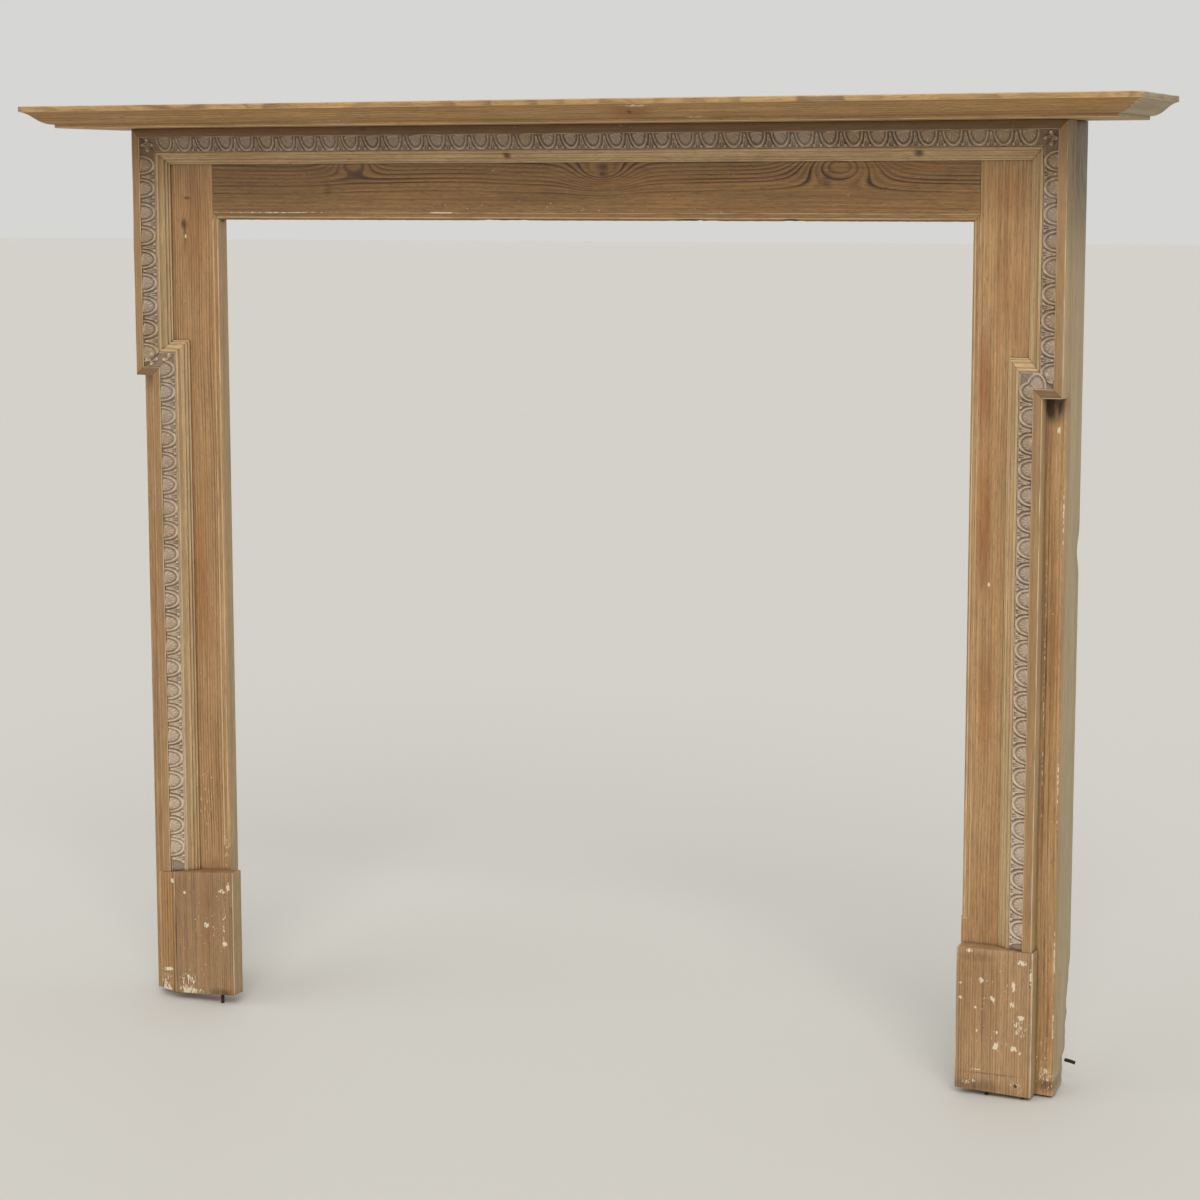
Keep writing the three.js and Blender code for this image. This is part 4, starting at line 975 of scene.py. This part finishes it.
class MantelColours(bpy.types.PropertyGroup):
    """Colours that a user would change."""

    stile_light: colour("Stiles", "Earlywood of the stiles", "#b08a5b")
    stile_dark: colour("Stile lines", "Latewood of the stiles", "#764d28")
    header_light: colour("Header", "Earlywood of the header", "#906b3b")
    header_dark: colour("Header lines", "Latewood flames of the header", "#3f2206")
    trim_light: colour("Architrave", "Earlywood of the architrave", "#b99a6e")
    trim_dark: colour("Architrave lines", "Latewood of the architrave", "#8a6439")
    shelf_light: colour("Shelf", "Earlywood of the shelf's edge", "#b58d57")
    shelf_dark: colour("Shelf lines", "Latewood of the shelf's edge", "#64401c")
    side_light: colour("Sides", "Earlywood of the weathered sides", "#a8936e")
    side_dark: colour("Side lines", "Latewood of the weathered sides", "#7d6842")
    plinth_light: colour("Plinths", "Earlywood of the plinths", "#a6825a")
    plinth_dark: colour("Plinth lines", "Latewood of the plinths", "#62421f")
    red: colour("Red wood", "Reddish heartwood", "#94602f")
    knot: colour("Knots", "Heart of the knots", "#4a2b14")
    rubbed: colour("Rubbed arrises", "Arrises rubbed pale", "#d9bf95")
    # Grime colour: also the colour of painted shade in the crevices and of the marks that paint shade and
    # shadow.
    grime_and_shade: colour("Grime", "Dirt in joints and quirks", "#3b2513")
    paint: colour("Old paint", "Remains of white paint", "#d9ccb0")
    paste: colour("Composition", "Grey-mauve paste", "#9a8676")
    paste_brown: colour("Brown composition", "Browner paste", "#937a5e")
    # Dark of the carving's ground, hollows and pits, which also carries the painted shade of its crevices.
    paste_hollow: colour("Hollows", "Hollows of the carving", "#45321f")
    paste_pale: colour("Rubbed tops", "Rubbed rims of the carving", "#d3bea3")
    rust: colour("Rust", "Rust bloom", "#4c2d1c")
    rust_dark: colour("Iron scale", "Dark scale", "#2b1d16")
    floor: colour("Floor", "Pale floor", "#d0cdc6")
    sky: colour("Studio", "Light all round", "#e6e6e4")


class MANTEL_OT_shelf(bpy.types.Operator):
    """Makes the shelf board and its three mouldings"""

    bl_idname = "mantel.shelf"
    bl_label = "Shelf"

    def execute(self, context):
        sizes, colours = context.scene.mantel_sizes, context.scene.mantel_colours
        ease = sizes.arris_ease / MM
        board = pine("pine_shelf_board", wood_look(
            colours, "shelf", ALONG_X_FLAT, 2.0, heart=60.0, contrast=0.5))
        edge = pine("pine_shelf_edge", wood_look(
            colours, "shelf", ALONG_X, 4.0, heart=30.0, pith=4.0, rise=70.0, spacing=2.6, rubbed_amount=0.6,
            knots=[(118.0, -2.0, 9.0, 9.0, 2.0), (-420.0, 2.0, 8.0, 6.0, 0.5), (520.0, 3.0, 9.0, -7.0, 0.5)],
            paint=[(131.0, 5.0, 32.0, 2.4, 0.35), (200.0, -9.0, 30.0, 1.5, 0.3),
                   (-300.0, -9.0, 90.0, 1.5, 0.22)],
            reds=[(118.0, -2.0, 45.0, 12.0, 0.7)]))
        side = pine("pine_shelf_return", wood_look(
            colours, "side", ALONG_Y, 6.0, contrast=0.7, weathered=0.0,
            paint=[(-187.0, 0.0, 12.0, 14.0, 0.13)]))
        box_low, box_high = corners_of("shelf_board")
        rings, worn = plank(box_low, box_high, 0, 0.9, 3)
        shell("shelf", rings, ["shelf_board"], board, worn)
        for index, (name, piece_side, finish) in enumerate((
                ("shelf_front_moulding", 0, edge), ("shelf_left_return_moulding", -1, side),
                ("shelf_right_return_moulding", 1, side))):
            rings, worn = shelf_length(piece_side, ease, 11 + index)
            shell(f"{name}_dressed", rings, [name], finish, worn)
        return {"FINISHED"}


class MANTEL_OT_boards(bpy.types.Operator):
    """Makes the header, the two stiles and the two return boards"""

    bl_idname = "mantel.boards"
    bl_label = "Boards"

    def execute(self, context):
        colours = context.scene.mantel_colours
        header = pine("pine_header", wood_look(
            colours, "header", ALONG_X, 12.0, pith=-175.0, heart=40.0, rise=90.0, bend=9.0, spacing=5.2,
            contrast=1.6, zone=(-108.0, -86.0, 0.25), blush=0.2,
            knots=[(352.0, -61.0, 25.0, -54.0, 2.5), (36.0, -76.0, 20.0, 30.0, 3.0),
                   (-317.0, -59.0, 15.0, -26.0, 0.8)],
            stains=[(-100.0, -135.5, 40.0, 3.5, 1.6), (159.0, -134.5, 33.0, 3.5, 1.6),
                    (288.0, -134.0, 16.0, 3.5, 1.6), (40.0, -72.0, 8.0, 14.0, 0.6),
                    (-355.0, -95.0, 9.0, 12.0, 0.4), (335.0, -85.0, 10.0, 13.0, 0.7),
                    (-60.0, -106.0, 170.0, 10.0, 0.25), (240.0, -104.0, 130.0, 9.0, 0.22),
                    (-440.0, -98.0, 210.0, 50.0, 0.3), (0.0, -100.0, 260.0, 50.0, 0.15)],
            paint=[(-190.0, -125.2, 26.0, 1.4, 0.6), (-430.0, -125.2, 120.0, 1.3, 0.26),
                   (0.0, -120.0, 520.0, 14.0, 0.03)]))
        left = pine("pine_left_stile", wood_look(
            colours, "stile", ALONG_Z, 21.0, pith=-760.0, heart=10.0, spacing=3.6, contrast=1.1,
            light=linear("#aa8457"),
            knots=[(-141.0, -574.0, 9.0, 7.0, 5.0)],
            stains=[(-106.0, -569.0, 3.0, 7.0, 1.0), (-160.0, -573.0, 34.0, 4.0, 0.6)],
            reds=[(-150.0, -560.0, 110.0, 30.0, 0.4), (-620.0, -560.0, 160.0, 16.0, 0.45)],
            paint=[(-157.0, -572.0, 6.0, 2.5, 0.3), (-930.0, -560.0, 90.0, 30.0, 0.07),
                   (-1000.0, -528.0, 60.0, 9.0, 0.12)]))
        right = pine("pine_right_stile", wood_look(
            colours, "stile", ALONG_Z, 27.0, pith=735.0, heart=10.0, spacing=3.8, contrast=0.65,
            reds=[(-330.0, 538.0, 90.0, 12.0, 0.75), (-500.0, 541.0, 130.0, 14.0, 0.85),
                  (-720.0, 545.0, 110.0, 11.0, 0.55), (-200.0, 560.0, 110.0, 18.0, 0.45),
                  (-640.0, 628.0, 240.0, 5.0, 0.5), (-100.0, 565.0, 40.0, 30.0, 0.5)],
            # The first mark is a stain under the right ear with the ear's shadow painted into it.
            stains=[(-351.0, 621.5, 31.0, 24.0, 1.45),
                    (-700.0, 621.0, 420.0, 1.4, 0.8), (-1040.0, 626.0, 110.0, 1.2, 0.7),
                    # The last mark here paints the shelf's shade at the top of the outer side.
                    (-1196.0, 632.0, 12.0, 16.0, 0.8), (-30.0, 640.0, 200.0, 1.2, 0.5)],
            paint=[(-574.0, 548.0, 5.0, 2.5, 0.5), (-382.0, 631.0, 6.0, 3.0, 0.6),
                   (-720.0, 619.0, 380.0, 0.9, 0.2), (-490.0, 638.6, 60.0, 1.25, 0.3),
                   (-820.0, 638.6, 80.0, 1.25, 0.24), (-1030.0, 638.6, 50.0, 1.3, 0.34),
                   (-1120.0, 638.6, 36.0, 1.3, 0.3), (-1185.0, 632.0, 22.0, 16.0, 0.17),
                   (-1160.0, 625.0, 60.0, 20.0, 0.1)]))
        left_side, right_side = [
            pine(f"pine_{word}_return", wood_look(
                colours, "side", ALONG_Z_SIDE, seed, pith=140.0, contrast=0.8, blush=0.08,
                # The mark at the top paints the shelf's shade on the sides; the one at the foot is dirt.
                stains=[(-1196.0, -50.0, 10.0, 50.0, 0.5), (0.0, -40.0, 240.0, 200.0, 0.8), *broken],
                paint=[(-1185.0, -60.0, 26.0, 30.0, 0.14)]))
            # On the right a mark paints shade into the broken back arris.
            for word, seed, broken in (("left", 33.0, []), ("right", 36.0, [(-1130.0, -3.0, 80.0, 9.0, 0.7)]))
        ]
        for name, (rings, worn), finish, slot in (
                ("header", header_rings(), header, "header_pine"),
                ("left_stile", stile_rings(-1), left, "pine"),
                ("right_stile", stile_rings(1), right, "pine"),
                ("left_return", return_rings(-1), left_side, "side_pine"),
                ("right_return", return_rings(1), right_side, "side_pine")):
            shell(f"{name}_board", rings, [name], finish, worn)
        return {"FINISHED"}


class MANTEL_OT_architrave(bpy.types.Operator):
    """Makes the seven lengths of the architrave"""

    bl_idname = "mantel.architrave"
    bl_label = "Architrave"

    def execute(self, context):
        sizes, colours = context.scene.mantel_sizes, context.scene.mantel_colours
        level = pine("pine_architrave_top", wood_look(
            colours, "trim", ALONG_X, 41.0, spacing=2.8, contrast=0.35, light=linear("#c2a376"),
            # The band of the top length is darkened here as painted shade of the shelf.
            proud=(-98.5, -99.5, 0.95), dark=linear("#6e4d2b"),
            knots=[(-291.0, -17.0, 8.0, 5.0, 3.6), (-92.0, -52.0, 8.0, 5.0, 4.0),
                   (454.0, -52.0, 9.0, 6.0, 4.5)]))
        upright = pine("pine_architrave_legs", wood_look(
            colours, "trim", ALONG_Z, 47.0, spacing=2.8, contrast=0.4, pith=300.0,
            # The band of the legs is a darker tone, and the mark paints the shelf's shade at the top of the
            # outer side.
            proud=(-98.5, -99.5, 0.76), stains=[(-30.0, 640.0, 200.0, 1.2, 0.5)],
            paint=[(-1010.0, 590.0, 40.0, 30.0, 0.08)]))
        for index, (name, run) in enumerate(architrave_runs().items()):
            rings, worn = architrave_length(run, sizes.arris_ease / MM, 60 + index)
            finish = level if run["inward"][2] else upright
            shell(f"moulding_{name}", rings, [f"architrave_{name}"], finish, worn)
        return {"FINISHED"}


class MANTEL_OT_carving(bpy.types.Operator):
    """Makes the seven egg-and-dart strips"""

    bl_idname = "mantel.carving"
    bl_label = "Egg and dart"

    def execute(self, context):
        sizes, colours = context.scene.mantel_sizes, context.scene.mantel_colours
        paste = composition("composition_paste", colours)
        for index, (name, run) in enumerate(architrave_runs().items()):
            rings, value = egg_strip(run, sizes, 80 + index)
            shell(f"carving_{name}", rings, [f"egg_and_dart_{name}"], paste, value)
        return {"FINISHED"}


class MANTEL_OT_plinths(bpy.types.Operator):
    """Makes the two plinth blocks and the left one's outer strip"""

    bl_idname = "mantel.plinths"
    bl_label = "Plinths"

    def execute(self, context):
        colours = context.scene.mantel_colours
        foot, joint = low("left_return", 2), low("left_plinth", 0)
        left = pine("pine_left_plinth", wood_look(
            colours, "plinth", ALONG_Z, 52.0, pith=-700.0, spacing=3.2, bend=1.5, rise=8.0,
            light=linear("#97744d"), dark=linear("#5c3f21"), red=linear("#865930"), weathered=0.5,
            reds=[(-1090.0, -545.0, 110.0, 14.0, 0.5)],
            stains=[(foot + 8, -525.0, 10.0, 26.0, 0.7), (-1105.0, joint, 130.0, 1.4, 1.0)],
            paint=[(foot + 18, -578.0, 30.0, 22.0, 0.2), (foot + 6, -570.0, 9.0, 40.0, 0.2),
                   (-1090.0, -518.0, 60.0, 4.0, 0.14), (-1051.0, -521.0, 5.0, 8.0, 0.3),
                   (-1046.0, -511.5, 12.0, 5.0, 0.3), (-1101.0, -546.0, 6.0, 8.0, 0.3),
                   (-1125.0, -518.0, 5.0, 6.0, 0.35), (-1058.0, -580.0, 3.5, 3.5, 0.35),
                   (-1110.0, -550.0, 140.0, 70.0, 0.05)]))
        strip = pine("pine_left_plinth_strip", wood_look(
            colours, "plinth", ALONG_Z, 55.0, pith=-900.0, spacing=4.2, bend=1.0, rise=6.0, contrast=1.5,
            light=linear("#a07a4b"), dark=linear("#643c14"),
            stains=[(foot + 8, -616.0, 10.0, 8.0, 0.6), (-1105.0, joint, 130.0, 2.0, 1.0)],
            paint=[(-1043.0, -600.0, 7.0, 6.0, 0.33), (-1169.0, -607.0, 5.0, 9.0, 0.25),
                   (foot + 20, -612.0, 30.0, 16.0, 0.2), (foot + 4, -612.0, 9.0, 16.0, 0.3)]))
        right = pine("pine_right_plinth", wood_look(
            colours, "plinth", ALONG_Z, 58.0, pith=830.0, spacing=3.4, bend=1.5, rise=8.0,
            reds=[(-1080.0, 550.0, 130.0, 40.0, 0.25)],
            stains=[(-1110.0, 555.0, 95.0, 1.2, 0.6), (-1080.0, 585.0, 80.0, 1.0, 0.5),
                    (foot + 22, 570.0, 1.6, 50.0, 0.5), (foot + 6, 550.0, 12.0, 50.0, 0.5),
                    (foot + 10, 599.0, 3.0, 3.0, 2.0), (-1035.0, 545.0, 8.0, 40.0, 0.3)],
            paint=[(-1037.0, 604.5, 6.0, 10.0, 0.3), (-1068.0, 594.5, 11.0, 4.0, 0.3),
                   (-1056.0, 615.5, 22.0, 2.2, 0.3), (-1091.0, 593.0, 8.0, 4.5, 0.28),
                   (-1106.0, 604.5, 6.0, 7.0, 0.35), (-1120.0, 602.0, 20.0, 15.0, 0.18),
                   (-1069.0, 526.6, 3.0, 3.0, 0.4), (-1088.0, 527.3, 3.0, 3.0, 0.42),
                   (-1099.0, 546.0, 3.0, 2.5, 0.4), (-1128.0, 549.0, 3.0, 2.5, 0.4),
                   (-1128.0, 574.0, 3.5, 2.5, 0.4),
                   (-1147.0, 595.5, 6.0, 8.0, 0.33), (-1150.0, 604.0, 7.0, 3.0, 0.3),
                   (-1146.0, 573.5, 9.0, 6.0, 0.32), (-1086.0, 568.0, 6.0, 5.0, 0.32),
                   (-1064.0, 553.0, 6.0, 5.0, 0.3), (-1027.0, 537.5, 5.0, 8.0, 0.26),
                   (-1178.0, 548.0, 1.4, 14.0, 0.3), (-1090.0, 570.0, 120.0, 70.0, 0.05),
                   (foot + 10, 600.0, 24.0, 18.0, 0.12), (foot + 12, 540.0, 10.0, 20.0, 0.14)]))
        for name, side, finish, ease, seed in (
                ("left_plinth", -1, left, 1.1, 90), ("left_plinth_strip", -1, strip, 1.1, 94),
                ("right_plinth", 1, right, 1.6, 98)):
            rings, worn = plinth_rings(name, side, ease, seed)
            if name == "left_plinth_strip":
                lost = LOST_CORNER - (rings[..., 0] - low(name, 0)) - (rings[..., 2] - foot)
                lost = np.clip(lost, 0, LOST_CORNER)
                rings[..., 2] += lost * (0.75 + 0.25 * wander(rings, 7.0, 5))
            shell(f"{name}_block", rings, [name], finish, worn)
        return {"FINISHED"}


class MANTEL_OT_nails(bpy.types.Operator):
    """Rusts the four iron nails of the frame"""

    bl_idname = "mantel.nails"
    bl_label = "Nails"

    def execute(self, context):
        iron = rusty_iron("rusty_iron", context.scene.mantel_colours)
        for name in ("left_foot_nail", "right_foot_inner_nail", "right_foot_outer_nail", "right_back_nail"):
            mesh = next(o for o in bpy.data.objects if o.name == name).data
            mesh.materials.clear()
            mesh.materials.append(iron)
        return {"FINISHED"}


class MANTEL_OT_stage(bpy.types.Operator):
    """Makes the pale floor, the studio light and the camera"""

    bl_idname = "mantel.stage"
    bl_label = "Stage"

    def execute(self, context):
        scene = context.scene
        mesh = bpy.data.meshes.new("floor")
        corners = [
            (x * FLOOR_HALF, y * FLOOR_HALF, FLOOR * MM) for x, y in ((-1, -1), (1, -1), (1, 1), (-1, 1))]
        mesh.from_pydata(corners, [], [(0, 1, 2, 3)])
        floor = bpy.data.objects.new("floor", mesh)
        scene.collection.objects.link(floor)
        material, add, mm = new_material("pale_floor")
        mottle = add("TexNoise", {"Vector": mm, "Scale": 1 / FLOOR_MOTTLE, "Detail": 4.0})
        rough = add("MapRange", [mottle, 0.0, 1.0, 0.55, 0.7])
        shader = add("BsdfPrincipled", {"Base Color": scene.mantel_colours.floor, "Roughness": rough})
        add("OutputMaterial", {"Surface": shader})
        mesh.materials.append(material)

        world = scene.world or bpy.data.worlds.new("studio")
        scene.world = world
        world.use_nodes = True
        background = world.node_tree.nodes["Background"]
        background.inputs["Color"].default_value = scene.mantel_colours.sky
        background.inputs["Strength"].default_value = SKY_STRENGTH
        for name, (turn, angle, strength) in SUNS.items():
            light = bpy.data.lights.new(name, "SUN")
            light.energy = strength
            light.angle = math.radians(angle)
            lamp = bpy.data.objects.new(name, light)
            lamp.rotation_euler = Euler([math.radians(a) for a in turn])
            scene.collection.objects.link(lamp)
        scene.view_settings.view_transform = "Standard"

        lens = bpy.data.cameras.new("camera")
        lens.sensor_width = SENSOR
        lens.lens = FOCAL_PIXELS / FRAME_PIXELS * SENSOR
        camera = bpy.data.objects.new("camera", lens)
        camera.location = CAMERA_PLACE
        camera.rotation_euler = Euler([math.radians(a) for a in CAMERA_TURN])
        scene.collection.objects.link(camera)
        scene.camera = camera
        return {"FINISHED"}


class MANTEL_PT_panel(bpy.types.Panel):
    """Lists the sizes, colours and pieces of the mantel"""

    bl_idname = "MANTEL_PT_panel"
    bl_label = "Mantel"
    bl_space_type = "VIEW_3D"
    bl_region_type = "UI"
    bl_category = "Mantel"

    def draw(self, context):
        for group in (context.scene.mantel_sizes, context.scene.mantel_colours):
            for name in group.__annotations__:
                self.layout.prop(group, name)
        for operator in OPERATORS:
            self.layout.operator(operator.bl_idname)


OPERATORS = (MANTEL_OT_shelf, MANTEL_OT_boards, MANTEL_OT_architrave, MANTEL_OT_carving, MANTEL_OT_plinths,
             MANTEL_OT_nails, MANTEL_OT_stage)
CLASSES = (MantelSizes, MantelColours, *OPERATORS, MANTEL_PT_panel)


def register():
    """Registers the classes and hangs the sizes and colours on the scene."""
    for cls in CLASSES:
        bpy.utils.register_class(cls)
    bpy.types.Scene.mantel_sizes = PointerProperty(type=MantelSizes)
    bpy.types.Scene.mantel_colours = PointerProperty(type=MantelColours)


def unregister():
    """Takes the classes, sizes and colours off again."""
    del bpy.types.Scene.mantel_colours
    del bpy.types.Scene.mantel_sizes
    for cls in reversed(CLASSES):
        bpy.utils.unregister_class(cls)


def main():
    """Makes the pieces in order."""
    register()
    bpy.ops.mantel.shelf()
    bpy.ops.mantel.boards()
    bpy.ops.mantel.architrave()
    bpy.ops.mantel.carving()
    bpy.ops.mantel.plinths()
    bpy.ops.mantel.nails()
    bpy.ops.mantel.stage()


if __name__ == "__main__":
    main()
